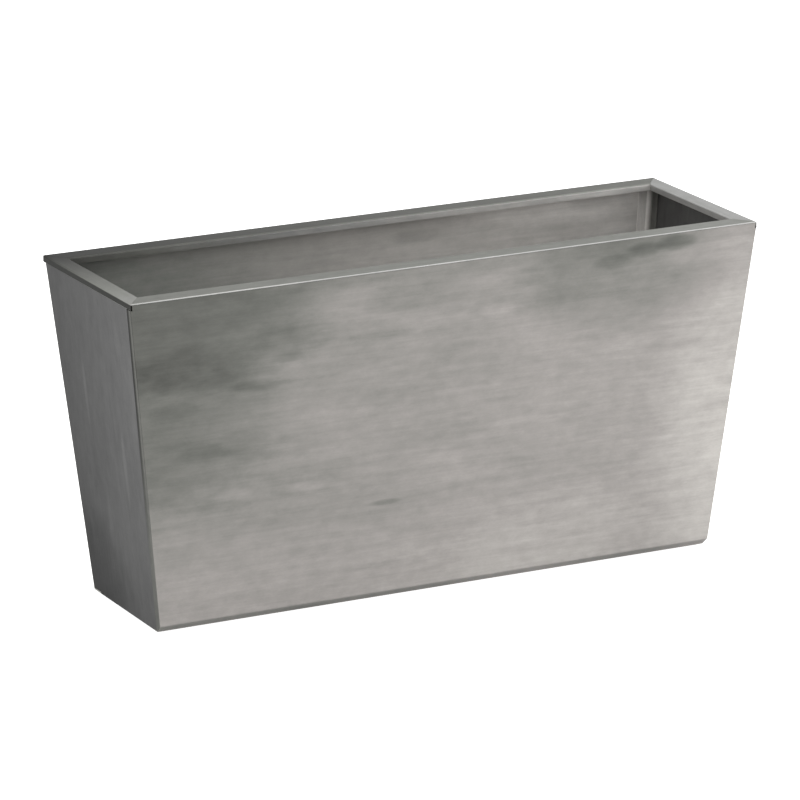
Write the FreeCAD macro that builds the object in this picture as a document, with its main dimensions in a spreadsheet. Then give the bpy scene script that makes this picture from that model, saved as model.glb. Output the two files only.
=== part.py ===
import FreeCAD, Part
import os
import re
import Sketcher
from FreeCAD import Placement, Rotation, Vector

# Tapered trough planter folded from brushed sheet metal. Four panels stand between a
# mitred capping rim and a raised base pan. The pan rests on three bearers, two of which
# carry the screw feet, and two cross ties hold the long panels at mid height.
# Millimetres, +Z up, origin on the floor under the middle, +X along the length, and the
# front faces -Y. Only the front panel has a bevel and is folded round onto the ends.
# Apart from that the planter is the same after half a turn about Z, so the back and
# right pieces are drawn like the front and left ones and turned round.

DRIVING_SIZES = [
    ("top_length", 1000, "outside length over the rim"),
    ("top_width", 300, "outside width over the rim"),
    ("overall_height", 500, "floor to the top of the rim"),
    ("end_inset", 55, "rim's end to the bottom edge, seen from above"),
    ("side_inset", 35, "rim's side to the bottom edge before the bevel, seen from above"),
    ("foot_rise", 3, "floor to the bottom edge of the panels"),
    ("panel_sheet", 2.5, "sheet of the four panels"),
    ("corner_wrap", 14, "how far the front panel is folded round onto an end"),
    ("seam_gap", 0.3, "hairline between an end panel and the long panels"),
    ("fold_round", 1.5, "outside radius of the panels' folds and corners"),
    ("bottom_bevel", 11, "height of the bevel under the front panel"),
    ("bottom_return", 14, "flange under a long panel, past the bevel"),
    ("end_return", 20, "flange under an end panel"),
    ("return_reach", 22.5, "rim's outer face to the edge of the panels' top flanges"),
    ("long_rail_width", 32, "flat width of the rim along the front and back"),
    ("end_rail_width", 25, "flat width of the rim along the ends"),
    ("rail_height", 10, "depth of the rim's lips"),
    ("rail_sheet", 1.5, "sheet of the rim rails"),
    ("rail_round", 2.4, "outside radius of the rim's folded arrises"),
    ("rail_edge", 1.1, "edge break along the outside of a long rail"),
    ("rail_gap", 0.2, "play between an end rail's outer lip and the panels"),
    ("lip_bevel", 0.9, "edge break under an end rail's outer lip"),
    ("mitre_gap", 0.12, "half of the hairline in a rim mitre"),
    ("corner_plate_sheet", 3, "thickness of the plates under the rim's corners"),
    ("corner_plate_edge", 8, "rim's outer face to a corner plate"),
    ("corner_plate_width", 14, "width of a corner plate's legs"),
    ("corner_plate_leg", 55, "length of a corner plate's legs"),
    ("corner_stud", 45, "rim's outer corner to the nearest stud, along the rim"),
    ("stud_radius", 2.5, "weld studs under the rim"),
    ("stud_length", 12, "length of a stud below the rim's web"),
    ("stud_play", 0.2, "radial play of a stud in its hole"),
    ("stud_nut_across", 8, "nut on a stud, across its flats"),
    ("stud_nut_height", 4, "height of a nut on a stud"),
    ("thread_play", 0.1, "radial play between a thread and its nut"),
    ("strip_sheet", 1.5, "sheet of the inside corner strips"),
    ("strip_cant", 7.5, "wall length that a corner strip's slanted face cuts off"),
    ("strip_leg", 22, "wall length that a corner strip covers, past the panels' seam"),
    ("base_height", 45, "floor to the top of the base pan"),
    ("pan_sheet", 2.5, "sheet of the base pan"),
    ("pan_skirt", 16, "depth of the base pan's turned-down edge"),
    ("pan_gap", 0.5, "play between the base pan and the panels"),
    ("bearer_width", 50, "width of the channels under the base pan"),
    ("bearer_sheet", 2.5, "sheet of the bearers"),
    ("bearer_gap", 0.4, "play between a bearer's end and the panel"),
    ("foot_end_inset", 115, "bottom edge at an end to a foot"),
    ("foot_side_inset", 49, "bottom edge at a side, before the bevel, to a foot"),
    ("pad_radius", 20, "radius of a foot's pad"),
    ("pad_gap", 0.3, "play between a retracted pad and the bearer"),
    ("pad_sole", 2, "solid rubber under a foot's screw"),
    ("pad_edge", 1, "edge break round a pad"),
    ("pad_lip", 0.8, "lip of the pad that holds the screw's flange"),
    ("screw_radius", 5, "radius of a foot's screw"),
    ("screw_flange_radius", 9.5, "flange of the screw inside its pad"),
    ("screw_flange_height", 1.8, "height of that flange"),
    ("screw_spin_play", 0.2, "play round the flange in its pad"),
    ("screw_top", 40, "floor to the top of a retracted screw"),
    ("screw_tip_chamfer", 1, "chamfer at the top of a screw"),
    ("screw_slot_width", 1.6, "driver slot in the top of a screw"),
    ("screw_slot_depth", 2.5, "depth of the driver slot"),
    ("foot_hole_play", 0.5, "radial play of a screw in its bearer"),
    ("foot_nut_across", 17, "weld nut of a foot, across its flats"),
    ("foot_nut_height", 8, "height of that weld nut"),
    ("tie_height", 300, "floor to the middle of the cross ties"),
    ("tie_x", 170, "middle of the planter to the face between a tie and its lugs"),
    ("tie_depth", 30, "depth of a cross tie"),
    ("tie_sheet", 4, "thickness of a cross tie"),
    ("tie_end_gap", 8, "end of a tie to the panel"),
    ("lug_sheet", 4, "thickness of the lugs that hold the ties"),
    ("lug_depth", 36, "depth of a lug"),
    ("lug_reach", 40, "panel to the inner end of a lug"),
    ("lug_round", 8, "radius of a lug's inner corners"),
    ("tie_bolt_inset", 26, "panel to the bolt through a lug"),
    ("tie_bolt_radius", 4, "radius of a tie bolt"),
    ("tie_bolt_play", 0.5, "radial play of a tie bolt in its hole"),
    ("tie_bolt_across", 13, "head and nut of a tie bolt, across the flats"),
    ("tie_bolt_head", 5.3, "height of a tie bolt's head"),
    ("tie_nut_height", 6.5, "height of a tie bolt's nut"),
    ("tie_bolt_over", 3, "thread that stands out of the nut"),
    ("washer_radius", 8, "outside radius of a washer"),
    ("washer_sheet", 1.6, "thickness of a washer"),
    ("drain_x", 165, "middle of the planter to a drain"),
    ("bush_radius", 16, "outside radius of a drain bush"),
    ("bush_bore", 12, "bore radius of a drain bush"),
    ("bush_flange_radius", 25, "flange radius of a drain bush"),
    ("bush_flange", 3, "height of that flange"),
    ("bush_drop", 25, "top of the base pan to the lower end of a bush"),
    ("bush_chamfer", 1, "edge break of a drain bush"),
    ("bush_play", 0.2, "radial play of a bush in the base pan"),
    ("bush_nut_across", 42, "locknut of a drain bush, across its flats"),
    ("bush_nut_height", 8, "height of that locknut"),
    ("plug_play", 0.3, "radial play of a plug at the mouth of its bush"),
    ("plug_tip_relief", 0.6, "loss of radius down the plug's shank"),
    ("plug_shank", 14, "depth of a plug in its bush"),
    ("plug_head_radius", 15, "radius of a plug's head"),
    ("plug_head", 3.5, "height of a plug's head"),
    ("plug_seat_play", 0.1, "play under a plug's head"),
    ("plug_neck_radius", 4, "radius of a plug's neck"),
    ("plug_neck", 6, "height of a plug's neck"),
    ("plug_knob_radius", 9, "radius of a plug's pull knob"),
    ("plug_knob", 6, "height of a plug's pull knob"),
    ("overrun", 5, "how far cuts run past what they cut"),
]

LONG_RAIL_STUD_COUNT = 6
SIDES = (-1, 1)
HEX_SIDES = 6
SAME_PLACE = 1e-3

doc = FreeCAD.newDocument("TroughPlanter")
sheet = doc.addObject("Spreadsheet::Sheet", "Sizes")
for row, (alias, size, meaning) in enumerate(DRIVING_SIZES, start=1):
    sheet.set(f"A{row}", meaning)
    sheet.set(f"B{row}", str(size))
    sheet.setAlias(f"B{row}", alias)
doc.recompute()

pieces = []
SIZE_NAMES = re.compile(r"\b(" + "|".join(alias for alias, _, _ in DRIVING_SIZES) + r")\b")


def bound(text):
    """Gives an expression in which every size name points at the sheet."""
    return SIZE_NAMES.sub(r"Sizes.\1", text)


def value(text):
    """Gives the present value of an expression in size names."""
    return float(sheet.evalExpression(bound(text)))


# Levels, as expressions in size names
TOP = "overall_height"
WEB_UNDER = "(overall_height - rail_sheet)"
LIP_UNDER = "(overall_height - rail_height)"
FLANGE_UNDER = f"({WEB_UNDER} - panel_sheet)"
PLATE_UNDER = f"({FLANGE_UNDER} - corner_plate_sheet)"
RETURN_TOP = "(foot_rise + panel_sheet)"
KNEE = "(foot_rise + bottom_bevel)"
PAN_UNDER = "(base_height - pan_sheet)"
SKIRT_UNDER = "(base_height - pan_skirt)"
BEARER_WEB_TOP = f"({RETURN_TOP} + bearer_sheet)"
PAD_TOP = f"({RETURN_TOP} - pad_gap)"
BUSH_TOP = "(base_height + bush_flange)"
PLUG_SEAT = f"({BUSH_TOP} + plug_seat_play)"

# The long panels lean out evenly from the bottom edge to the rim's outer face, and the
# end panels to just inside the rim's lip. The corners that the front panel folds round
# onto the ends lean a little more and stop under that lip, flush with its face.
HALF_LENGTH = "(top_length / 2)"
HALF_WIDTH = "(top_width / 2)"
LIP_INSIDE = "(rail_sheet + rail_gap)"
WALL_HEIGHT = "(overall_height - foot_rise)"
HALF_BASE_LENGTH = f"({HALF_LENGTH} - end_inset)"
HALF_BASE_WIDTH = f"({HALF_WIDTH} - side_inset)"
END_LEAN = f"((end_inset - {LIP_INSIDE}) / {WALL_HEIGHT})"
SIDE_LEAN = f"(side_inset / {WALL_HEIGHT})"
WRAP_LEAN = f"(end_inset / ({LIP_UNDER} - foot_rise))"
WRAP_TOP = f"({LIP_UNDER} - rail_gap)"


def end_outside(level):
    """Gives how far an end panel's outer face lies from the middle at a level."""
    return f"({HALF_BASE_LENGTH} + {END_LEAN} * ({level} - foot_rise))"


def wrap_outside(level):
    """Gives how far a folded corner's outer face lies from the middle at a level."""
    return f"({HALF_BASE_LENGTH} + {WRAP_LEAN} * ({level} - foot_rise))"


def side_outside(level):
    """Gives how far a long panel's outer face lies from the middle at a level."""
    return f"({HALF_BASE_WIDTH} + {SIDE_LEAN} * ({level} - foot_rise))"


def end_inside(level):
    """Gives how far an end panel's inner face lies from the middle at a level."""
    return f"({end_outside(level)} - panel_sheet)"


def side_inside(level):
    """Gives how far a long panel's inner face lies from the middle at a level."""
    return f"({side_outside(level)} - panel_sheet)"


def wrap_edge(level):
    """Gives how far the edge of a folded corner lies from the middle at a level."""
    return f"({side_outside(level)} - corner_wrap)"


# The bevel under the front panel is a fold of about 45 degrees, so its inner knee lies
# the tangent of a quarter of a right angle higher, in sheet thicknesses
KNEE_SHARE = "(sqrt(2) - 1)"
BEVEL_FOOT = f"({HALF_BASE_WIDTH} - bottom_bevel)"
BEVEL_LEAN = f"(({side_outside(KNEE)} - {BEVEL_FOOT}) / bottom_bevel)"
INNER_KNEE = f"({KNEE} + panel_sheet * {KNEE_SHARE})"
INNER_BEVEL_FOOT = f"({side_inside(INNER_KNEE)} - ({INNER_KNEE} - {RETURN_TOP}) * {BEVEL_LEAN})"
RETURN_EDGE = f"({BEVEL_FOOT} - bottom_return)"
FLANGE_EDGE = f"({HALF_WIDTH} - return_reach)"
STUD_LINE = "(corner_plate_edge + corner_plate_width / 2)"
STUD_HOLE = "(stud_radius + stud_play)"
TIE_BOLT_Y = f"({side_inside('tie_height')} - tie_bolt_inset)"
FOOT_X = f"({HALF_BASE_LENGTH} - foot_end_inset)"
FOOT_Y = f"({HALF_BASE_WIDTH} - foot_side_inset)"


# Document helpers
def new_body(label, turned=False):
    """Makes an empty body, turned half round about Z if asked."""
    body = doc.addObject("PartDesign::Body", label)
    body.Label = label
    if turned:
        body.Placement = Placement(Vector(), Rotation(Vector(0, 0, 1), 180))
    pieces.append(body)
    return body


def place(piece, along_x="0", along_y="0", along_z="0"):
    """Binds a piece's place to the sheet."""
    for axis, text in (("x", along_x), ("y", along_y), ("z", along_z)):
        piece.setExpression(f"Placement.Base.{axis}", bound(text))


def add_loop(sketch, corners):
    """Adds a closed outline whose corners are pairs of expressions."""
    first = sketch.GeometryCount
    count = len(corners)
    points = [Vector(value(across), value(up), 0) for across, up in corners]
    for number in range(count):
        line = Part.LineSegment(points[number], points[(number + 1) % count])
        sketch.addGeometry(line, False)
    for number in range(count):
        following = first + (number + 1) % count
        sketch.addConstraint(Sketcher.Constraint("Coincident", first + number, 2, following, 1))
    for number, (across, up) in enumerate(corners):
        for kind, text in (("DistanceX", across), ("DistanceY", up)):
            rule = Sketcher.Constraint(kind, -1, 1, first + number, 1, value(text))
            index = sketch.addConstraint(rule)
            sketch.setExpression(f"Constraints[{index}]", bound(text))


def add_circle(sketch, across, up, radius):
    """Adds a circle whose centre and radius are expressions."""
    centre = Vector(value(across), value(up), 0)
    circle = Part.Circle(centre, Vector(0, 0, 1), value(radius))
    number = sketch.addGeometry(circle, False)
    rules = (
        (Sketcher.Constraint("DistanceX", -1, 1, number, 3, centre.x), across),
        (Sketcher.Constraint("DistanceY", -1, 1, number, 3, centre.y), up),
        (Sketcher.Constraint("Radius", number, value(radius)), radius),
    )
    for rule, text in rules:
        index = sketch.addConstraint(rule)
        sketch.setExpression(f"Constraints[{index}]", bound(text))


def sketch_on(body, plane_role, loops=(), circles=(), offset="0"):
    """Draws outlines and circles on one of the body's own planes."""
    plane = next(item for item in body.Origin.OriginFeatures if item.Role == plane_role)
    sketch = body.newObject("Sketcher::SketchObject", f"{body.Name}_outline")
    sketch.AttachmentSupport = [(plane, "")]
    sketch.MapMode = "FlatFace"
    sketch.setExpression("AttachmentOffset.Base.z", bound(offset))
    for corners in loops:
        add_loop(sketch, corners)
    for across, up, radius in circles:
        add_circle(sketch, across, up, radius)
    return sketch


def pad(body, sketch, length, both_ways=False, backwards=False, lean=None):
    """Pads a sketch, along a leaning direction if one is given."""
    feature = body.newObject("PartDesign::Pad", f"{body.Name}_pad")
    feature.Profile = sketch
    feature.Reversed = backwards
    if both_ways:
        feature.SideType = "Symmetric"
    feature.setExpression("Length", bound(length))
    if lean:
        feature.UseCustomVector = True
        feature.AlongSketchNormal = True
        for axis, text in zip("xyz", lean):
            feature.setExpression(f"Direction.{axis}", bound(text))
    doc.recompute()
    return feature


def cut(body, sketch, depth=None, upwards=False):
    """Cuts a sketch out of the body, right through if no depth is given."""
    before = body.Shape.Volume
    feature = body.newObject("PartDesign::Pocket", f"{body.Name}_cut")
    feature.Profile = sketch
    if depth is None:
        feature.Type = "ThroughAll"
        feature.SideType = "Symmetric"
    else:
        feature.Reversed = upwards
        feature.setExpression("Length", bound(depth))
    doc.recompute()
    if body.Shape.Volume >= before:
        raise RuntimeError(f"{body.Label}: a cut took nothing away")
    return feature


def rectangle(half_across, half_up):
    """Gives the corners of a rectangle about the middle."""
    left = f"-{half_across}"
    low = f"-{half_up}"
    return [(left, low), (half_across, low), (half_across, half_up), (left, half_up)]


def trim(body, plane_role, corners):
    """Keeps only what lies inside an outline, seen square to a plane."""
    reach = "(top_length + overall_height)"
    return cut(body, sketch_on(body, plane_role, [rectangle(reach, reach), corners]))


def drill(body, plane_role, circles, surface, depth):
    """Drills holes down from a surface, with the overrun at both ends."""
    outline = sketch_on(body, plane_role, circles=circles, offset=f"({surface} + overrun)")
    return cut(body, outline, f"({depth} + 2 * overrun)")


def round_edges(body, radius, chosen):
    """Rounds the edges whose middle point the test accepts."""
    base = body.Tip
    names = []
    for number, edge in enumerate(base.Shape.Edges, start=1):
        if chosen(edge.CenterOfMass):
            names.append(f"Edge{number}")
    if not names:
        raise RuntimeError(f"{body.Label}: no edge to round")
    feature = body.newObject("PartDesign::Fillet", f"{body.Name}_round")
    feature.Base = (base, names)
    feature.setExpression("Radius", bound(radius))
    doc.recompute()
    return feature


def turn_profile(body, corners):
    """Turns an outline of radius and level pairs about Z."""
    sketch = sketch_on(body, "XZ_Plane", [corners])
    feature = body.newObject("PartDesign::Revolution", f"{body.Name}_turned")
    feature.Profile = sketch
    feature.ReferenceAxis = (sketch, ["V_Axis"])
    doc.recompute()
    return feature


def near(first, second):
    """Tells whether two lengths are the same place."""
    return abs(first - second) < SAME_PLACE


def cylinder(radius, length, start="0"):
    """Makes a cylinder along Z from a start level."""
    rod = doc.addObject("Part::Cylinder", "rod")
    rod.setExpression("Radius", bound(radius))
    rod.setExpression("Height", bound(length))
    place(rod, along_z=start)
    return rod


def prism(across, length):
    """Makes a hexagonal prism along Z from its size across the flats."""
    block = doc.addObject("Part::Prism", "hexagon")
    block.Polygon = HEX_SIDES
    block.setExpression("Circumradius", bound(f"{across} / sqrt(3)"))
    block.setExpression("Height", bound(length))
    return block


def bored(block, bore, length):
    """Bores a block right through along Z."""
    ring = doc.addObject("Part::Cut", "bored")
    ring.Base = block
    ring.Tool = cylinder(bore, f"({length} + 2 * overrun)", "-overrun")
    return ring


def hex_nut(across, height, bore):
    """Makes a hexagonal nut that stands on its own level zero."""
    return bored(prism(across, height), bore, height)


def group(label, members):
    """Joins like fasteners into one named group of separate solids."""
    compound = doc.addObject("Part::Compound", label)
    compound.Label = label
    compound.Links = members
    pieces.append(compound)
    return compound


# Shell: two long panels, the front one with a bevel and folded round onto the ends
def stud_places(count):
    """Gives evenly spaced places along a long rim rail."""
    last = f"({HALF_LENGTH} - corner_stud)"
    return [f"({last} * {2 * number - count + 1} / {count - 1})" for number in range(count)]


def add_wraps(body, foot):
    """Pads both folded corners and trims them to a band that ends in the panel's foot."""
    low = "(foot_rise - overrun)"
    plates = []
    for side in SIDES:
        plates.append([
            (f"({side} * ({wrap_outside(low)} - panel_sheet))", low),
            (f"({side} * ({wrap_outside(low)} + overrun))", low),
            (f"({side} * ({wrap_outside(WRAP_TOP)} + overrun))", WRAP_TOP),
            (f"({side} * ({wrap_outside(WRAP_TOP)} - panel_sheet))", WRAP_TOP),
        ])
    pad(body, sketch_on(body, "XZ_Plane", plates), "top_width", both_ways=True)
    band = foot + [
        (f"-{side_outside(TOP)}", TOP),
        (f"-{wrap_edge(TOP)}", TOP),
        (f"-{wrap_edge('foot_rise')}", "foot_rise"),
    ]
    trim(body, "YZ_Plane", band)


def long_panel(label, front=False, turned=False):
    """Folds a long panel, plain or as the front one, and drills its top flange for the studs."""
    body = new_body(label, turned)
    low = "(foot_rise - overrun)"
    high = f"({WEB_UNDER} + overrun)"
    if front:
        body.AllowCompound = True
        outside = wrap_outside
        foot = [(f"-{BEVEL_FOOT}", "foot_rise"), (f"-{side_outside(KNEE)}", KNEE)]
        inner_foot = [(f"-{side_inside(INNER_KNEE)}", INNER_KNEE), (f"-{INNER_BEVEL_FOOT}", RETURN_TOP)]
        half = [
            (wrap_outside(low), low),
            (wrap_outside(WRAP_TOP), WRAP_TOP),
            (end_outside(WRAP_TOP), WRAP_TOP),
            (end_outside(high), high),
        ]
        add_wraps(body, foot)
    else:
        outside = end_outside
        foot = [(f"-{HALF_BASE_WIDTH}", "foot_rise")]
        inner_foot = [(f"-{side_inside(RETURN_TOP)}", RETURN_TOP)]
        half = [(end_outside(low), low), (end_outside(high), high)]
    section = [(f"-{RETURN_EDGE}", "foot_rise")] + foot + [
        (f"-{side_outside(WEB_UNDER)}", WEB_UNDER),
        (f"-{FLANGE_EDGE}", WEB_UNDER),
        (f"-{FLANGE_EDGE}", FLANGE_UNDER),
        (f"-{side_inside(FLANGE_UNDER)}", FLANGE_UNDER),
    ] + inner_foot + [(f"-{RETURN_EDGE}", RETURN_TOP)]
    pad(body, sketch_on(body, "YZ_Plane", [section]), "top_length", both_ways=True)
    mirrored = [(f"-{across}", up) for across, up in reversed(half)]
    trim(body, "XZ_Plane", half + mirrored)
    web = value(WEB_UNDER)
    top_edge = value(side_outside(WEB_UNDER))
    flange_end = value(end_outside(WEB_UNDER))
    knee_edge = value(side_outside(KNEE))
    bevel_foot = value(BEVEL_FOOT)
    knee = value(KNEE)

    def is_outer_fold(middle):
        """Accepts the top fold, the ends of the top flange and the upright outer corners."""
        above_knee = middle.z > knee + SAME_PLACE
        on_wall = above_knee and near(-middle.y, value(side_outside(str(middle.z))))
        on_bevel = near(-middle.y, (knee_edge + bevel_foot) / 2)
        at_end = near(abs(middle.x), value(outside(str(middle.z))))
        on_rim = near(middle.z, web)
        on_top = on_rim and (near(-middle.y, top_edge) or near(abs(middle.x), flange_end))
        return on_top or (at_end and (on_wall or on_bevel))

    round_edges(body, "fold_round", is_outer_fold)
    row = f"-({HALF_WIDTH} - {STUD_LINE})"
    holes = [(along, row, STUD_HOLE) for along in stud_places(LONG_RAIL_STUD_COUNT)]
    drill(body, "XY_Plane", holes, WEB_UNDER, "panel_sheet")
    return body


long_panel("front_panel", front=True)
long_panel("back_panel", turned=True)


# Shell: two end panels, set between the back panel and the front panel's folded corners
def end_panel(label, turned=False):
    """Folds an end panel and fits its outline between the long panels."""
    body = new_body(label, turned)
    flange = f"({HALF_LENGTH} - return_reach)"
    foot_edge = f"({HALF_BASE_LENGTH} - end_return)"
    section = [
        (f"-{foot_edge}", "foot_rise"),
        (f"-{end_outside('foot_rise')}", "foot_rise"),
        (f"-{end_outside(WEB_UNDER)}", WEB_UNDER),
        (f"-{flange}", WEB_UNDER),
        (f"-{flange}", FLANGE_UNDER),
        (f"-{end_inside(FLANGE_UNDER)}", FLANGE_UNDER),
        (f"-{end_inside(RETURN_TOP)}", RETURN_TOP),
        (f"-{foot_edge}", RETURN_TOP),
    ]
    pad(body, sketch_on(body, "XZ_Plane", [section]), "top_width", both_ways=True)
    top_edge = value(end_outside(WEB_UNDER))
    round_edges(body, "fold_round", lambda middle: near(-middle.x, top_edge) and near(middle.y, 0))

    def upright_edge(side, seam):
        """Gives one side of the outline from the bottom up, where the wall ends at a seam."""
        steps = [
            (RETURN_EDGE, "(foot_rise - overrun)"),
            (RETURN_EDGE, f"({RETURN_TOP} + seam_gap)"),
            (seam(RETURN_TOP), f"({RETURN_TOP} + seam_gap)"),
            (seam(FLANGE_UNDER), f"({FLANGE_UNDER} - seam_gap)"),
            (FLANGE_EDGE, f"({FLANGE_UNDER} - seam_gap)"),
            (FLANGE_EDGE, f"({WEB_UNDER} + overrun)"),
        ]
        return [(f"({side} * ({across} - seam_gap))", up) for across, up in steps]

    front_side = 1 if turned else -1
    outline = upright_edge(front_side, wrap_edge) + upright_edge(-front_side, side_inside)[::-1]
    trim(body, "YZ_Plane", outline)
    column = f"-({HALF_LENGTH} - {STUD_LINE})"
    holes = [(column, f"({side} * ({HALF_WIDTH} - corner_stud))", STUD_HOLE) for side in SIDES]
    drill(body, "XY_Plane", holes, WEB_UNDER, "panel_sheet")
    return body


end_panel("left_end_panel")
end_panel("right_end_panel", turned=True)


# Rim: mitred rails that cap the panels, with a lip inside and, at the ends, one outside
def rim_rail(label, lengthwise, turned=False):
    """Folds a rim rail and mitres its ends."""
    body = new_body(label, turned)
    plane_role = "YZ_Plane" if lengthwise else "XZ_Plane"
    half_across, half_along = (HALF_WIDTH, HALF_LENGTH) if lengthwise else (HALF_LENGTH, HALF_WIDTH)
    widths = ("long_rail_width", "end_rail_width")
    width, other_width = widths if lengthwise else widths[::-1]
    inner = f"({half_across} - {width})"
    outer_lip = [
        (f"-({half_across} - rail_sheet)", WEB_UNDER),
        (f"-({half_across} - rail_sheet)", LIP_UNDER),
        (f"-({half_across} - lip_bevel)", LIP_UNDER),
        (f"-{half_across}", f"({LIP_UNDER} + lip_bevel)"),
    ]
    section = [
        (f"-{half_across}", TOP),
        (f"-{inner}", TOP),
        (f"-{inner}", LIP_UNDER),
        (f"-({inner} + rail_sheet)", LIP_UNDER),
        (f"-({inner} + rail_sheet)", WEB_UNDER),
    ]
    section += [(f"-{half_across}", WEB_UNDER)] if lengthwise else outer_lip
    pad(body, sketch_on(body, plane_role, [section]), f"(2 * {half_along})", both_ways=True)

    def across(point):
        """Gives a point's distance from the middle, across the rail."""
        return -point.y if lengthwise else -point.x

    edge = value(half_across)
    bend = value(f"{half_across} - rail_sheet")
    inner_edge = value(inner)
    inner_bend = value(f"{inner} + rail_sheet")
    top = value(TOP)
    web = value(WEB_UNDER)
    half = value(half_along)

    def runs_along(middle, level, faces):
        """Accepts edges along the rail, at a level and on one of some faces."""
        along = middle.x if lengthwise else middle.y
        on_face = any(near(across(middle), face) for face in faces)
        return near(middle.z, level) and abs(along) < half / 2 and on_face

    def is_arris(middle):
        """Accepts the folded top edges that run along the rail."""
        return runs_along(middle, top, [inner_edge] if lengthwise else [inner_edge, edge])

    def is_inner_bend(middle):
        """Accepts the edges inside the folds."""
        return runs_along(middle, web, [inner_bend] if lengthwise else [inner_bend, bend])

    round_edges(body, "rail_round", is_arris)
    round_edges(body, "(rail_round - rail_sheet)", is_inner_bend)
    if lengthwise:
        round_edges(body, "rail_edge", lambda middle: runs_along(middle, top, [edge]))
    run = f"(overrun * {other_width} / {width})"
    far = f"({half_along} + {run} - mitre_gap)"
    close = f"({half_along} - {other_width} - {run} - mitre_gap)"
    outline = [
        (f"-{far}", f"-({half_across} + overrun)"),
        (far, f"-({half_across} + overrun)"),
        (close, f"-({inner} - overrun)"),
        (f"-{close}", f"-({inner} - overrun)"),
    ]
    if not lengthwise:
        outline = [(up, sideways) for sideways, up in outline]
    trim(body, "XY_Plane", outline)
    return body


rim_rail("front_rim_rail", lengthwise=True)
rim_rail("back_rim_rail", lengthwise=True, turned=True)
rim_rail("left_rim_rail", lengthwise=False)
rim_rail("right_rim_rail", lengthwise=False, turned=True)


# Rim: plates that tie its corners together, under the panels' top flanges
def corner_plate(label, side, turned=False):
    """Cuts an L-shaped plate for the front corner on one side."""
    body = new_body(label, turned)

    def from_corner(along, across):
        """Gives the point at two distances from the rim's outer corner."""
        return (f"({side} * ({HALF_LENGTH} - {along}))", f"-({HALF_WIDTH} - {across})")

    near_edge = "corner_plate_edge"
    far_edge = "(corner_plate_edge + corner_plate_width)"
    tip = "(corner_plate_edge + corner_plate_leg)"
    corners = [
        from_corner(near_edge, near_edge),
        from_corner(tip, near_edge),
        from_corner(tip, far_edge),
        from_corner(far_edge, far_edge),
        from_corner(far_edge, tip),
        from_corner(near_edge, tip),
    ]
    holes = [
        (*from_corner("corner_stud", STUD_LINE), STUD_HOLE),
        (*from_corner(STUD_LINE, "corner_stud"), STUD_HOLE),
    ]
    pad(body, sketch_on(body, "XY_Plane", [corners], holes, PLATE_UNDER), "corner_plate_sheet")
    return body


corner_plate("rim_corner_plate_front_left", -1)
corner_plate("rim_corner_plate_front_right", 1)
corner_plate("rim_corner_plate_back_right", -1, turned=True)
corner_plate("rim_corner_plate_back_left", 1, turned=True)


# Rim: studs welded under the rails, and their nuts
def stud_positions():
    """Gives each stud's place and whether a corner plate lies under it."""
    positions = []
    along_places = stud_places(LONG_RAIL_STUD_COUNT)
    for side in SIDES:
        for along in along_places:
            at_corner = along in (along_places[0], along_places[-1])
            positions.append((along, f"({side} * ({HALF_WIDTH} - {STUD_LINE}))", at_corner))
        for end in SIDES:
            column = f"({side} * ({HALF_LENGTH} - {STUD_LINE}))"
            positions.append((column, f"({end} * ({HALF_WIDTH} - corner_stud))", True))
    return positions


studs = []
stud_nuts = []
for stud_x, stud_y, over_plate in stud_positions():
    stud = cylinder("stud_radius", "stud_length")
    place(stud, stud_x, stud_y, f"({WEB_UNDER} - stud_length)")
    studs.append(stud)
    seat = PLATE_UNDER if over_plate else FLANGE_UNDER
    nut = hex_nut("stud_nut_across", "stud_nut_height", "(stud_radius + thread_play)")
    place(nut, stud_x, stud_y, f"({seat} - stud_nut_height)")
    stud_nuts.append(nut)
group("rim_studs", studs)
group("rim_nuts", stud_nuts)


# Inside corners: folded strips with a slanted face, from the base pan to the rim
def corner_strip(label, side, turned=False):
    """Runs a folded strip up the front corner on one side, leaning with both walls."""
    body = new_body(label, turned)
    bend = f"(strip_cant + strip_sheet * {KNEE_SHARE})"

    def from_corner(along, across):
        """Gives the point at two distances from the panels' inside corner."""
        along_x = f"({side} * ({end_inside('base_height')} - {along}))"
        return (along_x, f"-({side_inside('base_height')} - {across})")

    corners = [
        from_corner("strip_leg", "0"),
        from_corner("strip_cant", "0"),
        from_corner("0", "strip_cant"),
        from_corner("0", "strip_leg"),
        from_corner("strip_sheet", "strip_leg"),
        from_corner("strip_sheet", bend),
        from_corner(bend, "strip_sheet"),
        from_corner("strip_leg", "strip_sheet"),
    ]
    lean = (f"({side} * {END_LEAN})", f"-{SIDE_LEAN}", "1")
    sketch = sketch_on(body, "XY_Plane", [corners], offset="base_height")
    pad(body, sketch, f"({PLATE_UNDER} - base_height)", lean=lean)
    return body


corner_strip("corner_strip_front_left", -1)
corner_strip("corner_strip_front_right", 1)
corner_strip("corner_strip_back_right", -1, turned=True)
corner_strip("corner_strip_back_left", 1, turned=True)


# Base: a raised pan with two drain holes
def base_pan():
    """Folds the base pan's edges down and drills its drain holes."""
    body = new_body("base_pan")
    half_x = f"({end_inside(SKIRT_UNDER)} - pan_gap)"
    half_y = f"({side_inside(SKIRT_UNDER)} - pan_gap)"
    block = sketch_on(body, "XY_Plane", [rectangle(half_x, half_y)], offset=SKIRT_UNDER)
    pad(body, block, "pan_skirt")
    hollow = rectangle(f"({half_x} - pan_sheet)", f"({half_y} - pan_sheet)")
    underside = sketch_on(body, "XY_Plane", [hollow], offset=SKIRT_UNDER)
    cut(body, underside, "(pan_skirt - pan_sheet)", upwards=True)
    drains = [(f"({side} * drain_x)", "0", "(bush_radius + bush_play)") for side in SIDES]
    drill(body, "XY_Plane", drains, "base_height", "pan_sheet")
    return body


base_pan()


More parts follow.
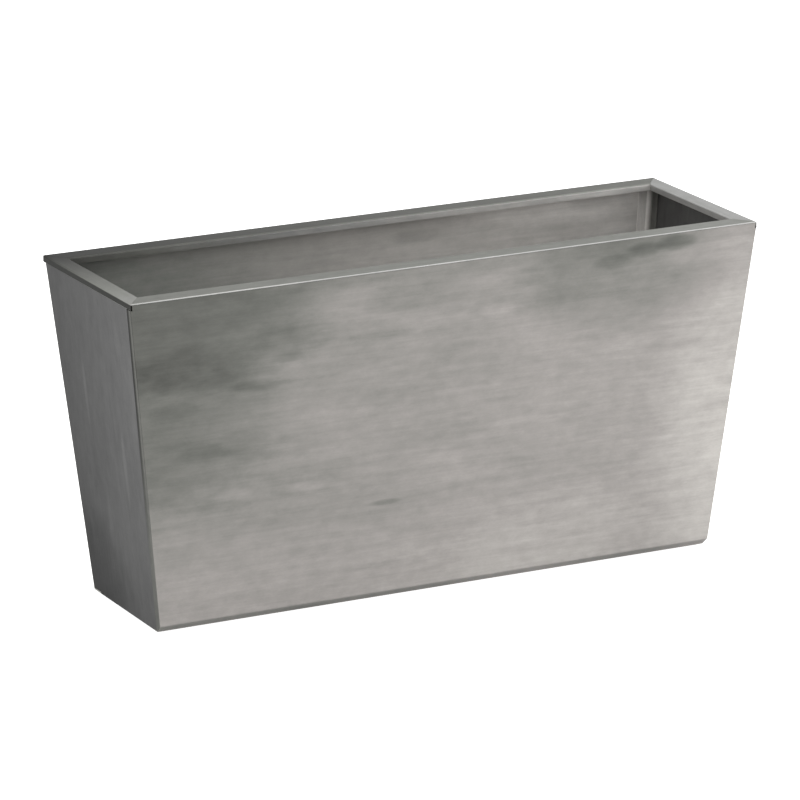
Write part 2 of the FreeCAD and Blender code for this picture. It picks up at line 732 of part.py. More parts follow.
# Base: channels across the width that carry the pan, two of them with the feet
def bearer(label, along, with_feet):
    """Folds a bearer that rests on the long panels' bottom flanges."""
    body = new_body(label)
    half = "(bearer_width / 2)"
    inner = f"({half} - bearer_sheet)"
    section = [
        (f"-{half}", RETURN_TOP),
        (half, RETURN_TOP),
        (half, PAN_UNDER),
        (inner, PAN_UNDER),
        (inner, BEARER_WEB_TOP),
        (f"-{inner}", BEARER_WEB_TOP),
        (f"-{inner}", PAN_UNDER),
        (f"-{half}", PAN_UNDER),
    ]
    length = f"(2 * ({INNER_BEVEL_FOOT} - bearer_gap))"
    pad(body, sketch_on(body, "XZ_Plane", [section]), length, both_ways=True)
    if with_feet:
        hole_radius = "(screw_radius + foot_hole_play)"
        holes = [("0", f"({side} * {FOOT_Y})", hole_radius) for side in SIDES]
        drill(body, "XY_Plane", holes, BEARER_WEB_TOP, "bearer_sheet")
    place(body, along)
    return body


bearer("left_bearer", f"-{FOOT_X}", True)
bearer("middle_bearer", "0", False)
bearer("right_bearer", FOOT_X, True)


# Feet: rubber pads, screws that spin in them, and weld nuts in the bearers
def foot_pad(label, along, across):
    """Turns a pad with a pocket that holds the screw's flange."""
    body = new_body(label)
    pocket_radius = "(screw_flange_radius + screw_spin_play)"
    pocket_top = f"({PAD_TOP} - pad_lip)"
    mouth = "(screw_radius + screw_spin_play)"
    corners = [
        ("0", "0"),
        ("(pad_radius - pad_edge)", "0"),
        ("pad_radius", "pad_edge"),
        ("pad_radius", f"({PAD_TOP} - pad_edge)"),
        ("(pad_radius - pad_edge)", PAD_TOP),
        (mouth, PAD_TOP),
        (mouth, pocket_top),
        (pocket_radius, pocket_top),
        (pocket_radius, "pad_sole"),
        ("0", "pad_sole"),
    ]
    turn_profile(body, corners)
    place(body, along, across)
    return body


def foot_screw(label, along, across):
    """Turns a levelling screw and cuts its driver slot."""
    body = new_body(label)
    flange_under = "(pad_sole + screw_spin_play)"
    flange_top = f"({flange_under} + screw_flange_height)"
    corners = [
        ("0", flange_under),
        ("screw_flange_radius", flange_under),
        ("screw_flange_radius", flange_top),
        ("screw_radius", flange_top),
        ("screw_radius", "(screw_top - screw_tip_chamfer)"),
        ("(screw_radius - screw_tip_chamfer)", "screw_top"),
        ("0", "screw_top"),
    ]
    turn_profile(body, corners)
    slot = rectangle("(screw_radius + overrun)", "(screw_slot_width / 2)")
    top = sketch_on(body, "XY_Plane", [slot], offset="screw_top")
    cut(body, top, "screw_slot_depth")
    place(body, along, across)
    return body


FOOT_CORNERS = {
    "front_left": (f"-{FOOT_X}", f"-{FOOT_Y}"),
    "front_right": (FOOT_X, f"-{FOOT_Y}"),
    "back_left": (f"-{FOOT_X}", FOOT_Y),
    "back_right": (FOOT_X, FOOT_Y),
}
foot_nuts = []
for corner, (foot_along, foot_across) in FOOT_CORNERS.items():
    foot_pad(f"foot_pad_{corner}", foot_along, foot_across)
    foot_screw(f"foot_screw_{corner}", foot_along, foot_across)
    nut = hex_nut("foot_nut_across", "foot_nut_height", "(screw_radius + thread_play)")
    place(nut, foot_along, foot_across, BEARER_WEB_TOP)
    foot_nuts.append(nut)
group("foot_weld_nuts", foot_nuts)


# Cross ties: flat bars bolted to lugs that are welded inside the long panels
def tie_lug(label, side, turned=False):
    """Cuts a lug whose outer edge follows the leaning panel."""
    body = new_body(label, turned)
    low = "(tie_height - lug_depth / 2)"
    high = "(tie_height + lug_depth / 2)"
    tip = f"({side_inside('tie_height')} - lug_reach)"
    corners = [
        (f"({side} * {side_inside(low)})", low),
        (f"({side} * {side_inside(high)})", high),
        (f"({side} * {tip})", high),
        (f"({side} * {tip})", low),
    ]
    hole = [(f"({side} * {TIE_BOLT_Y})", "tie_height", "(tie_bolt_radius + tie_bolt_play)")]
    sketch = sketch_on(body, "YZ_Plane", [corners], hole, "-tie_x")
    pad(body, sketch, "lug_sheet")
    tip_y = value(tip)
    half_sheet = value("lug_sheet / 2 - tie_x")

    def is_inner_corner(middle):
        """Accepts the two edges at the tip that run through the sheet."""
        return near(side * middle.y, tip_y) and near(middle.x, half_sheet)

    round_edges(body, "lug_round", is_inner_corner)
    return body


def cross_tie(label, turned=False):
    """Cuts a cross tie with a bolt hole near each end."""
    body = new_body(label, turned)
    half_y = f"({side_inside('tie_height')} - tie_end_gap)"
    low = "(tie_height - tie_depth / 2)"
    high = "(tie_height + tie_depth / 2)"
    corners = [(f"-{half_y}", low), (half_y, low), (half_y, high), (f"-{half_y}", high)]
    hole_radius = "(tie_bolt_radius + tie_bolt_play)"
    holes = [(f"({side} * {TIE_BOLT_Y})", "tie_height", hole_radius) for side in SIDES]
    sketch = sketch_on(body, "YZ_Plane", [corners], holes, "-tie_x")
    pad(body, sketch, "tie_sheet", backwards=True)
    return body


cross_tie("left_cross_tie")
cross_tie("right_cross_tie", turned=True)
tie_lug("tie_lug_left_front", -1)
tie_lug("tie_lug_left_back", 1)
tie_lug("tie_lug_right_back", -1, turned=True)
tie_lug("tie_lug_right_front", 1, turned=True)


def on_tie_bolt(piece, end, side, start):
    """Lays a piece on a tie bolt's axis, from a distance outside the tie's inner face."""
    piece.Placement = Placement(Vector(), Rotation(Vector(0, 1, 0), -90 * end))
    place(piece, f"({end} * (tie_x + {start}))", f"({side} * {TIE_BOLT_Y})", "tie_height")
    return piece


def tie_bolt():
    """Makes a hexagon-headed bolt that points along Z."""
    stack = "(washer_sheet + tie_sheet + lug_sheet + washer_sheet + tie_nut_height + tie_bolt_over)"
    bolt = doc.addObject("Part::Fuse", "bolt")
    bolt.Base = prism("tie_bolt_across", "tie_bolt_head")
    bolt.Tool = cylinder("tie_bolt_radius", f"(tie_bolt_head + {stack})")
    return bolt


def washer():
    """Makes a flat washer."""
    disc = cylinder("washer_radius", "washer_sheet")
    return bored(disc, "(tie_bolt_radius + tie_bolt_play)", "washer_sheet")


tie_bolts = []
tie_nuts = []
tie_washers = []
for end in SIDES:
    for side in SIDES:
        head_start = "(tie_sheet + washer_sheet + tie_bolt_head)"
        tie_bolts.append(on_tie_bolt(tie_bolt(), end, side, head_start))
        tie_washers.append(on_tie_bolt(washer(), end, side, "(tie_sheet + washer_sheet)"))
        tie_washers.append(on_tie_bolt(washer(), end, side, "(-lug_sheet)"))
        nut = hex_nut("tie_bolt_across", "tie_nut_height", "(tie_bolt_radius + thread_play)")
        tie_nuts.append(on_tie_bolt(nut, end, side, "(-lug_sheet - washer_sheet)"))
group("tie_bolts", tie_bolts)
group("tie_washers", tie_washers)
group("tie_nuts", tie_nuts)


# Drains: flanged bushes through the pan, their locknuts and lift-out plugs
def drain_bush(label, along):
    """Turns a flanged drain bush."""
    body = new_body(label)
    low = "(base_height - bush_drop)"
    corners = [
        ("bush_bore", low),
        ("(bush_radius - bush_chamfer)", low),
        ("bush_radius", f"({low} + bush_chamfer)"),
        ("bush_radius", "base_height"),
        ("bush_flange_radius", "base_height"),
        ("bush_flange_radius", f"({BUSH_TOP} - bush_chamfer)"),
        ("(bush_flange_radius - bush_chamfer)", BUSH_TOP),
        ("bush_bore", BUSH_TOP),
    ]
    turn_profile(body, corners)
    place(body, along)
    return body


def drain_plug(label, along):
    """Turns a rubber plug with a pull knob."""
    body = new_body(label)
    mouth_radius = "(bush_bore - plug_play)"
    head_top = f"({PLUG_SEAT} + plug_head)"
    neck_top = f"({head_top} + plug_neck)"
    knob_top = f"({neck_top} + plug_knob)"
    corners = [
        ("0", f"({PLUG_SEAT} - plug_shank)"),
        (f"({mouth_radius} - plug_tip_relief)", f"({PLUG_SEAT} - plug_shank)"),
        (mouth_radius, PLUG_SEAT),
        ("plug_head_radius", PLUG_SEAT),
        ("plug_head_radius", head_top),
        ("plug_neck_radius", head_top),
        ("plug_neck_radius", neck_top),
        ("plug_knob_radius", f"({neck_top} + plug_knob / 3)"),
        ("plug_knob_radius", f"({knob_top} - plug_knob / 3)"),
        ("plug_neck_radius", knob_top),
        ("0", knob_top),
    ]
    turn_profile(body, corners)
    place(body, along)
    return body


for side_name, drain_along in (("left", "-drain_x"), ("right", "drain_x")):
    drain_bush(f"drain_bush_{side_name}", drain_along)
    drain_plug(f"drain_plug_{side_name}", drain_along)
    locknut = hex_nut("bush_nut_across", "bush_nut_height", "(bush_radius + thread_play)")
    locknut.Label = f"drain_locknut_{side_name}"
    place(locknut, drain_along, "0", f"({PAN_UNDER} - bush_nut_height)")
    pieces.append(locknut)


# Every object has to be sound before a file is written
doc.recompute()
for item in doc.Objects:
    if "Invalid" in item.State or "Error" in item.State:
        raise RuntimeError(f"{item.Label} failed to build: {item.State}")
for piece in pieces:
    if piece.Shape.isNull() or not piece.Shape.isValid():
        raise RuntimeError(f"{piece.Label} has no sound shape")

os.makedirs("parts", exist_ok=True)
for piece in pieces:
    piece.Shape.exportStep(f"parts/{piece.Label}.step")
    box = piece.Shape.BoundBox
    print(
        f"{piece.Label}: {len(piece.Shape.Solids)} solid(s), {piece.Shape.Volume / 1000:.1f} cm3,"
        f" x {box.XMin:.1f} to {box.XMax:.1f}, y {box.YMin:.1f} to {box.YMax:.1f},"
        f" z {box.ZMin:.1f} to {box.ZMax:.1f}"
    )
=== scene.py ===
import logging
import math
from dataclasses import dataclass
from enum import Enum
from functools import cache

import bmesh
import bpy
from mathutils import Matrix, Vector


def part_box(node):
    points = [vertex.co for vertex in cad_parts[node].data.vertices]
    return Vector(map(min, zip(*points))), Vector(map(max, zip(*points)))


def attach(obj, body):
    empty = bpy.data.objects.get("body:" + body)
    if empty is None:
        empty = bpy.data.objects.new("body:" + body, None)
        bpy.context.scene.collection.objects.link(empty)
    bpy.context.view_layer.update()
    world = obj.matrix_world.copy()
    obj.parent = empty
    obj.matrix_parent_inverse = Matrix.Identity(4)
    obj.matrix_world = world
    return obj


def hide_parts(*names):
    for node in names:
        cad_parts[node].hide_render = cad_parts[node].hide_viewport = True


# Tapered trough planter of brushed sheet metal: panels, mitred rim, corner strips, raised
# base pan on bearers, cross ties, drains and screw feet. Metres, +Z up, the front faces -Y.
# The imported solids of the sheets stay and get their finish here. Turned, threaded and
# moulded pieces are modelled anew over their solids, and welds and sealant are added.

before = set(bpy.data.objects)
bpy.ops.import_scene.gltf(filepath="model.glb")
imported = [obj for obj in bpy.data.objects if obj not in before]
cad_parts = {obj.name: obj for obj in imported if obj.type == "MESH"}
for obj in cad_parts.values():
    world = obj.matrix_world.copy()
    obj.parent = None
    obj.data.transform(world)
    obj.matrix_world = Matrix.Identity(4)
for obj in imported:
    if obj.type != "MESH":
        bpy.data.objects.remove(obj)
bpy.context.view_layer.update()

log = logging.getLogger("planter")
MM = 0.001
FULL_TURN = 2 * math.pi
EVEN = (1.0, 1.0, 1.0)
SIDES = (-1, 1)
AHEAD = Vector((1, 0, 0))
UP = Vector((0, 0, 1))
UPSIDE_DOWN = Matrix.Rotation(math.pi, 4, "X")
CORNERS = ("front_left", "front_right", "back_left", "back_right")
HALF_HEIGHT = 250 * MM
SAME_LEVEL = 0.1 * MM
ROUNDED_SHARE = 0.45
NOISE_ROUGHNESS = 0.55

# The long walls start this far from the middle and lean out by this share of their height.
WALL_FOOT = 112 * MM
WALL_LEAN = 0.07

Pair = tuple[float, float]
Triple = tuple[float, float, float]
Colour = Triple
Stops = tuple[tuple[float, Colour], ...]
Ring = list[Vector]
Profile = list[Pair]
Material = bpy.types.Material
Socket = bpy.types.NodeSocket
Object = bpy.types.Object


class Grain(Enum):
    """The way a sheet was brushed, as how much finer the grain is along X, Y and Z."""

    LENGTHWISE = (0.07, 1.0, 1.0)
    CROSSWISE = (1.0, 0.07, 1.0)
    UPRIGHT = (1.0, 1.0, 0.07)


class Place(Enum):
    """A part of a sheet that has a tone of its own."""

    INNER_LONG_FACE = "the side of a long panel that faces the soil"
    INNER_END_FACE = "the side of an end panel that faces the soil"
    UPRIGHT_EDGE = "the lips and edges of a rail"
    LONG_WALL_SIDE = "the part of a strip that lies along a long panel"
    TOWARDS_END = "faces that look along X"


class Field:
    """A number that varies over a surface, so that shader maths reads as Python."""

    def __init__(self, tree: "FinishTree", socket: Socket) -> None:
        """Keeps the socket and the tree that it belongs to."""
        self.tree = tree
        self.socket = socket

    def __add__(self, other: "Field | float") -> "Field":
        """Adds."""
        return self.tree.math("ADD", self, other)

    def __sub__(self, other: "Field | float") -> "Field":
        """Subtracts."""
        return self.tree.math("SUBTRACT", self, other)

    def __rsub__(self, other: float) -> "Field":
        """Subtracts this from a plain number."""
        return self.tree.math("SUBTRACT", other, self)

    def __mul__(self, other: "Field | float") -> "Field":
        """Multiplies."""
        return self.tree.math("MULTIPLY", self, other)

    def __truediv__(self, other: "Field | float") -> "Field":
        """Divides."""
        return self.tree.math("DIVIDE", self, other)

    def __abs__(self) -> "Field":
        """Takes the size without its sign."""
        return self.tree.math("ABSOLUTE", self)


class FinishTree:
    """The node tree of one material, and the one way to add nodes to it."""

    def __init__(self, name: str) -> None:
        """Starts an empty material.

        Args:
            name: The material's name.
        """
        self.material = bpy.data.materials.new(name)
        self.material.use_nodes = True
        self.tree = self.material.node_tree
        self.tree.nodes.clear()
        self.place = self.node("TexCoord").outputs["Object"]

    def node(
        self, kind: str, settings: dict | None = None, sockets: dict | None = None
    ) -> bpy.types.Node:
        """Adds one node.

        Args:
            kind: The node's type, without the leading ShaderNode.
            settings: Properties that are set before the sockets; "stops" fills a ramp.
            sockets: Values or links, by the name or number of the input.

        Returns:
            The new node.
        """
        made = self.tree.nodes.new(f"ShaderNode{kind}")
        for name, setting in (settings or {}).items():
            if name == "stops":
                self.fill_ramp(made.color_ramp, setting)
            else:
                setattr(made, name, setting)
        for name, feed in (sockets or {}).items():
            if isinstance(feed, Field):
                self.tree.links.new(feed.socket, made.inputs[name])
            elif isinstance(feed, Socket):
                self.tree.links.new(feed, made.inputs[name])
            else:
                made.inputs[name].default_value = feed
        return made

    @staticmethod
    def fill_ramp(ramp: bpy.types.ColorRamp, stops: Stops) -> None:
        """Gives a ramp its stops.

        Args:
            ramp: The ramp of a Color Ramp node.
            stops: Pairs of a place from 0 to 1 and a colour.
        """
        while len(ramp.elements) < len(stops):
            ramp.elements.new(1.0)
        for element, (place, colour) in zip(ramp.elements, stops):
            element.position = place
            element.color = (*colour, 1.0)

    def math(self, operation: str, *terms: Field | float) -> Field:
        """Adds a Math node for an operation on its terms, and gives the result."""
        made = self.node("Math", {"operation": operation}, dict(enumerate(terms)))
        return Field(self, made.outputs[0])

    def along(self, axis: int) -> Field:
        """Gives the place along one axis, in metres from the planter's middle."""
        split = self.node("SeparateXYZ", None, {0: self.place})
        return Field(self, split.outputs[axis])

    def facing(self, axis: int) -> Field:
        """Gives how far the surface faces along one axis, from -1 to 1."""
        normal = self.node("NewGeometry").outputs["Normal"]
        return Field(self, self.node("SeparateXYZ", None, {0: normal}).outputs[axis])

    def step(self, field: Field, low: float, high: float) -> Field:
        """Gives a smooth step.

        Args:
            field: What is compared.
            low: Where the step leaves 0.
            high: Where it reaches 1.

        Returns:
            A number from 0 to 1.
        """
        sockets = {"Value": field, "From Min": low, "From Max": high}
        made = self.node("MapRange", {"interpolation_type": "SMOOTHSTEP"}, sockets)
        return Field(self, made.outputs[0])

    def noise(
        self, scale: float, detail: float = 3.0, offset: float = 0.0, stretch: Triple = EVEN
    ) -> Field:
        """Gives cloudy noise about zero.

        Args:
            scale: Clouds in a metre, where the stretch is 1.
            detail: Octaves.
            offset: Shifts the pattern, so that two noises differ.
            stretch: How fine the noise is along each axis, against the others.

        Returns:
            A number from about -1 to 1.
        """
        factors = tuple(scale * share for share in stretch)
        places = {0: self.place, 1: factors, 2: (offset,) * 3}
        moved = self.node("VectorMath", {"operation": "MULTIPLY_ADD"}, places)
        sockets = {"Vector": moved.outputs[0], "Scale": 1, "Detail": detail}
        made = self.node("TexNoise", None, sockets | {"Roughness": NOISE_ROUGHNESS})
        return (Field(self, made.outputs[0]) - 0.5) * 2

    def ramp(self, tone: Field, stops: Stops) -> Socket:
        """Gives the colour of a tone, from stops that pair tones and colours."""
        return self.node("ValToRGB", {"stops": stops}, {"Fac": tone}).outputs[0]

    def blend(self, share: Field, first: Colour, second: Colour) -> Socket:
        """Mixes two colours, the first where the share is 0 and the second where it is 1."""
        sockets = {0: share, 6: (*first, 1.0), 7: (*second, 1.0)}
        return self.node("Mix", {"data_type": "RGBA", "clamp_factor": True}, sockets).outputs[2]

    def bump(self, height: Field, depth: float) -> Socket:
        """Turns a height into a normal, where the depth is the metres for a height of 1."""
        made = self.node("Bump", None, {"Strength": 1.0, "Distance": depth, "Height": height})
        return made.outputs[0]

    def close(self, sockets: dict) -> Material:
        """Adds the shader and the output.

        Args:
            sockets: Values and links of the shader's inputs.

        Returns:
            The finished material.
        """
        shader = self.node("BsdfPrincipled", None, sockets)
        self.node("OutputMaterial", None, {"Surface": shader.outputs[0]})
        return self.material


WARM = (
    (0.0, (0.0, 0.0, 0.0)),
    (0.10, (0.100, 0.1015, 0.093)),
    (0.16, (0.160, 0.1570, 0.147)),
    (0.23, (0.230, 0.2180, 0.208)),
    (0.36, (0.360, 0.3460, 0.327)),
    (1.0, (1.0, 0.97, 0.93)),
)
OLIVE = (
    (0.0, (0.0, 0.0, 0.0)),
    (0.20, (0.200, 0.2030, 0.187)),
    (0.32, (0.320, 0.3200, 0.314)),
    (1.0, (1.0, 0.97, 0.93)),
)
FILMED = (
    (0.0, (0.0, 0.0, 0.0)),
    (0.22, (0.220, 0.2265, 0.209)),
    (0.38, (0.380, 0.3670, 0.347)),
    (1.0, (1.0, 0.965, 0.925)),
)
NEUTRAL = (
    (0.0, (0.0, 0.0, 0.0)),
    (1.0, (1.0, 1.0, 0.995)),
)


@dataclass(frozen=True)
class Tone:
    """A tone that changes evenly along X, Y and Z, from the middle at half height."""

    middle: float
    slope_x: float = 0.0
    slope_y: float = 0.0
    slope_z: float = 0.0

    def field(self, tree: FinishTree) -> Field:
        """Gives the tone over the surface."""
        level = tree.along(0) * self.slope_x + tree.along(1) * self.slope_y
        return level + (tree.along(2) - HALF_HEIGHT) * self.slope_z + self.middle


@dataclass(frozen=True)
class Mark:
    """A soft dark or light mark in a sheet's tone, placed along the sheet and up; some are blotches of
    the film and some are painted shade, shadow, light and reflection.
    """

    along: float
    level: float
    half_length: float
    half_height: float
    tone: float
    inner: bool = False
    fray: float = 0.25
    reach: float = 1.4
    blend: float = 0.03

    def field(self, tree: FinishTree, axis: int, rough: Field) -> Field:
        """Gives what the mark adds to the tone.

        Args:
            tree: The tree to build in.
            axis: 0 where the sheet runs along X, 1 where it runs along Y.
            rough: Noise that frays its edge.

        Returns:
            The change of tone.
        """
        across = (tree.along(axis) - self.along) / self.half_length
        up = (tree.along(2) - self.level) / self.half_height
        distance = across * across + up * up + rough * self.fray
        side = tree.facing(1 - axis) * tree.along(1 - axis)
        there = 1 - tree.step(side, -self.blend, 0.0) if self.inner else tree.step(side, 0.0, self.blend)
        return (1 - tree.step(distance, 0.0, self.reach)) * there * self.tone


@dataclass(frozen=True)
class Zone:
    """A place with a tone of its own."""

    place: Place
    tone: Tone
    edge_tilt: Pair = (0.1, 0.45)
    end_tilt: Pair = (0.8, 0.95)
    inner_side: Pair = (-0.08, -0.04)
    wall_blend: float = 8 * MM

    def mask(self, tree: FinishTree) -> Field:
        """Gives 1 in the zone and 0 elsewhere.

        Args:
            tree: The tree to build in.

        Returns:
            The mask.
        """
        if self.place is Place.UPRIGHT_EDGE:
            return 1 - tree.step(abs(tree.facing(2)), *self.edge_tilt)
        if self.place is Place.TOWARDS_END:
            return tree.step(abs(tree.facing(0)), *self.end_tilt)
        if self.place is Place.LONG_WALL_SIDE:
            from_middle = abs(tree.along(1)) - tree.along(2) * WALL_LEAN
            return tree.step(from_middle, WALL_FOOT - self.wall_blend, WALL_FOOT)
        axis = 1 if self.place is Place.INNER_LONG_FACE else 0
        return 1 - tree.step(tree.facing(axis) * tree.along(axis), *self.inner_side)


@dataclass(frozen=True)
class SeamShade:
    """Painted shade along the joint between an end panel and the front panel's folded corner, fading out
    towards the bottom.
    """

    foot: float = 102 * MM
    half_width: float = 8 * MM
    core: float = 0.3
    fade_low: float = 40 * MM
    fade_high: float = 360 * MM
    share: float = 0.80

    def field(self, tree: FinishTree) -> Field:
        """Gives the share of the tone that is left along the joint.

        Args:
            tree: The tree to build in.

        Returns:
            A factor that is 1 away from the joint.
        """
        away = abs(tree.along(1) + tree.along(2) * WALL_LEAN + self.foot) / self.half_width
        rising = tree.step(tree.along(2), self.fade_low, self.fade_high)
        return 1 - (1 - tree.step(away, self.core, 1.0)) * rising * self.share


@dataclass(frozen=True)
class Layer:
    """A layer of noise: its clouds in a metre, octaves, offset and softness."""

    scale: float
    octaves: float
    offset: float
    softness: float = 0.0

    def field(self, tree: FinishTree, grain: Triple) -> Field:
        """Gives the noise, drawn out along the grain only as far as its softness lets it."""
        stretch = tuple(max(share, self.softness) for share in grain)
        return tree.noise(self.scale, self.octaves, self.offset, stretch)


@dataclass(frozen=True)
class BrushedMetal:
    """Brushed sheet with a cloudy grey film over it, whose tone also carries painted light, shade and
    reflection.

    A tone is the share of the light that the metal returns, as the red of its colour.
    """

    name: str
    grain: Grain
    tone: Tone
    tint: Stops
    zones: tuple[Zone, ...] = ()
    marks: tuple[Mark, ...] = ()
    seam_shade: SeamShade | None = None
    painted_arris_glint: float = 0.0
    arris: Pair = (0.28, 0.48)
    clouds: float = 0.20
    patch_share: float = 0.7
    mottle: float = 0.14
    streaks: float = 0.13
    line_share: float = 0.8
    scratch_share: float = 0.5
    grain_depth: float = 0.012 * MM
    band_depth: float = 0.7
    roughness: float = 0.42
    cloud_roughness: float = 0.05
    line_roughness: float = 0.06
    metallic: float = 0.8
    inner_metallic: float = 0.8
    wide: Layer = Layer(11.0, 3.0, 3.1, 0.35)
    patches: Layer = Layer(34.0, 3.0, 9.4, 0.35)
    spots: Layer = Layer(75.0, 2.0, 6.6, 0.6)
    bands: Layer = Layer(110.0, 2.0, 1.7)
    lines: Layer = Layer(260.0, 2.0, 5.2)
    scratches: Layer = Layer(620.0, 1.0, 8.3, 0.35)

    def material(self) -> Material:
        """Builds the finish.

        Returns:
            The material.
        """
        tree = FinishTree(self.name)
        layers = (self.wide, self.patches, self.spots, self.bands, self.lines, self.scratches)
        fields = (layer.field(tree, self.grain.value) for layer in layers)
        wide, patches, spots, bands, lines, scratches = fields
        tone = self.tone.field(tree)
        metallic: Field | float = self.metallic
        for zone in self.zones:
            mask = zone.mask(tree)
            tone = tone + (zone.tone.field(tree) - tone) * mask
            if zone.place is Place.INNER_LONG_FACE:
                metallic = mask * (self.inner_metallic - self.metallic) + self.metallic
        axis = 1 if self.grain is Grain.UPRIGHT else 0
        for mark in self.marks:
            tone = tone + mark.field(tree, axis, patches)
        # painted shade along the joint at the front corners
        if self.seam_shade:
            tone = tone * self.seam_shade.field(tree)
        # painted highlight: the tone is raised along the folded arrises
        if self.painted_arris_glint:
            tone = tone + self.arrises(tree) * self.painted_arris_glint
        cloudy = (wide + patches * self.patch_share) * self.clouds + spots * self.mottle
        streaky = (bands + lines * self.line_share + scratches * self.scratch_share) * self.streaks
        return tree.close(
            {
                "Base Color": tree.ramp(tone * (cloudy + 1) * (streaky + 1), self.tint),
                "Roughness": wide * self.cloud_roughness + lines * self.line_roughness + self.roughness,
                "Metallic": metallic,
                "Specular IOR Level": 0.2,
                "Specular Tint": (0.5, 0.5, 0.5, 1.0),
                "Normal": tree.bump(lines + bands * self.band_depth, self.grain_depth),
            }
        )

    def arrises(self, tree: FinishTree) -> Field:
        """Finds where a folded arris turns between the top or a side and another side, where a highlight
        is painted.

        Args:
            tree: The tree to build in.

        Returns:
            A field that is 1 on the arrises.
        """
        ahead, across, up = (tree.facing(axis) for axis in range(3))
        turn = abs(ahead * across) + up * (abs(ahead) + abs(across))
        return tree.step(turn, *self.arris)


@dataclass(frozen=True)
class PlainMetal:
    """Unbrushed metal: zinc coated or straight from the mill."""

    name: str
    dark: Colour
    bright: Colour
    grain_scale: float
    roughness: float
    film_share: float = 0.12
    film_contrast: float = 0.5
    grain_contrast: float = 0.35
    film_roughness: float = 0.06
    grain_roughness: float = 0.08
    grain_depth: float = 0.01 * MM

    def material(self) -> Material:
        """Builds the finish.

        Returns:
            The material.
        """
        tree = FinishTree(self.name)
        film = tree.noise(self.grain_scale * self.film_share, 4.0)
        grains = tree.noise(self.grain_scale, 2.0, 4.0)
        share = film * self.film_contrast + grains * self.grain_contrast + 0.5
        rough = grains * self.grain_roughness + film * self.film_roughness
        return tree.close(
            {
                "Base Color": tree.blend(share, self.dark, self.bright),
                "Roughness": rough + self.roughness,
                "Metallic": 1.0,
                "Normal": tree.bump(grains, self.grain_depth),
            }
        )


@dataclass(frozen=True)
class Moulded:
    """Moulded plastic, rubber or sealant with a fine skin."""

    name: str
    dark: Colour
    bright: Colour
    skin_scale: float
    roughness: float
    skin_depth: float = 0.03 * MM
    skin_roughness: float = 0.05
    dust_share: float = 0.05
    dust_level: float = 0.4
    dust_contrast: float = 0.6
    dust_roughness: float = 0.1

    def material(self) -> Material:
        """Builds the finish.

        Returns:
            The material.
        """
        tree = FinishTree(self.name)
        skin = tree.noise(self.skin_scale)
        dust = tree.noise(self.skin_scale * self.dust_share, 4.0, 7.0)
        dusty = dust * self.dust_contrast + self.dust_level
        rough = dust * self.dust_roughness + skin * self.skin_roughness
        return tree.close(
            {
                "Base Color": tree.blend(dusty, self.dark, self.bright),
                "Roughness": rough + self.roughness,
                "Normal": tree.bump(skin, self.skin_depth),
            }
        )


Finish = BrushedMetal | PlainMetal | Moulded

MILL_PLATE = PlainMetal("mill_plate", (0.16, 0.16, 0.165), (0.34, 0.34, 0.345), 400.0, 0.5)
MILL_TIE = PlainMetal("mill_tie", (0.15, 0.15, 0.155), (0.33, 0.33, 0.335), 300.0, 0.48)
WELD_BEAD = PlainMetal("weld_bead", (0.16, 0.155, 0.15), (0.40, 0.39, 0.37), 500.0, 0.42)
ZINC_PAN = PlainMetal("zinc_pan", (0.36, 0.37, 0.38), (0.56, 0.57, 0.58), 60.0, 0.42)
ZINC_BEARER = PlainMetal("zinc_bearer", (0.30, 0.31, 0.32), (0.50, 0.51, 0.52), 60.0, 0.45)
GREY_SEALANT = Moulded("grey_sealant", (0.12, 0.12, 0.12), (0.20, 0.20, 0.20), 500.0, 0.55)
BLACK_PLASTIC = Moulded("black_plastic", (0.014, 0.014, 0.016), (0.045, 0.045, 0.05), 900.0, 0.42)
PLUG_RUBBER = Moulded("plug_rubber", (0.012, 0.012, 0.012), (0.05, 0.05, 0.05), 700.0, 0.66)
FOOT_RUBBER = Moulded("foot_rubber", (0.012, 0.012, 0.012), (0.045, 0.045, 0.045), 600.0, 0.7)


def zinc_fastener(name: str) -> PlainMetal:
    """Gives the bright zinc of bolts, nuts, washers and screws."""
    return PlainMetal(name, (0.42, 0.42, 0.40), (0.66, 0.66, 0.62), 900.0, 0.34)


@cache
def material_of(finish: Finish) -> Material:
    """Gives a finish's material, which is built only once."""
    return finish.material()


def linked(name: str, data: bpy.types.ID) -> Object:
    """Makes an object of some data and links it to the scene.

    Args:
        name: The object's name.
        data: Its mesh, light or camera.

    Returns:
        The object.
    """
    made = bpy.data.objects.new(name, data)
    bpy.context.scene.collection.objects.link(made)
    return made


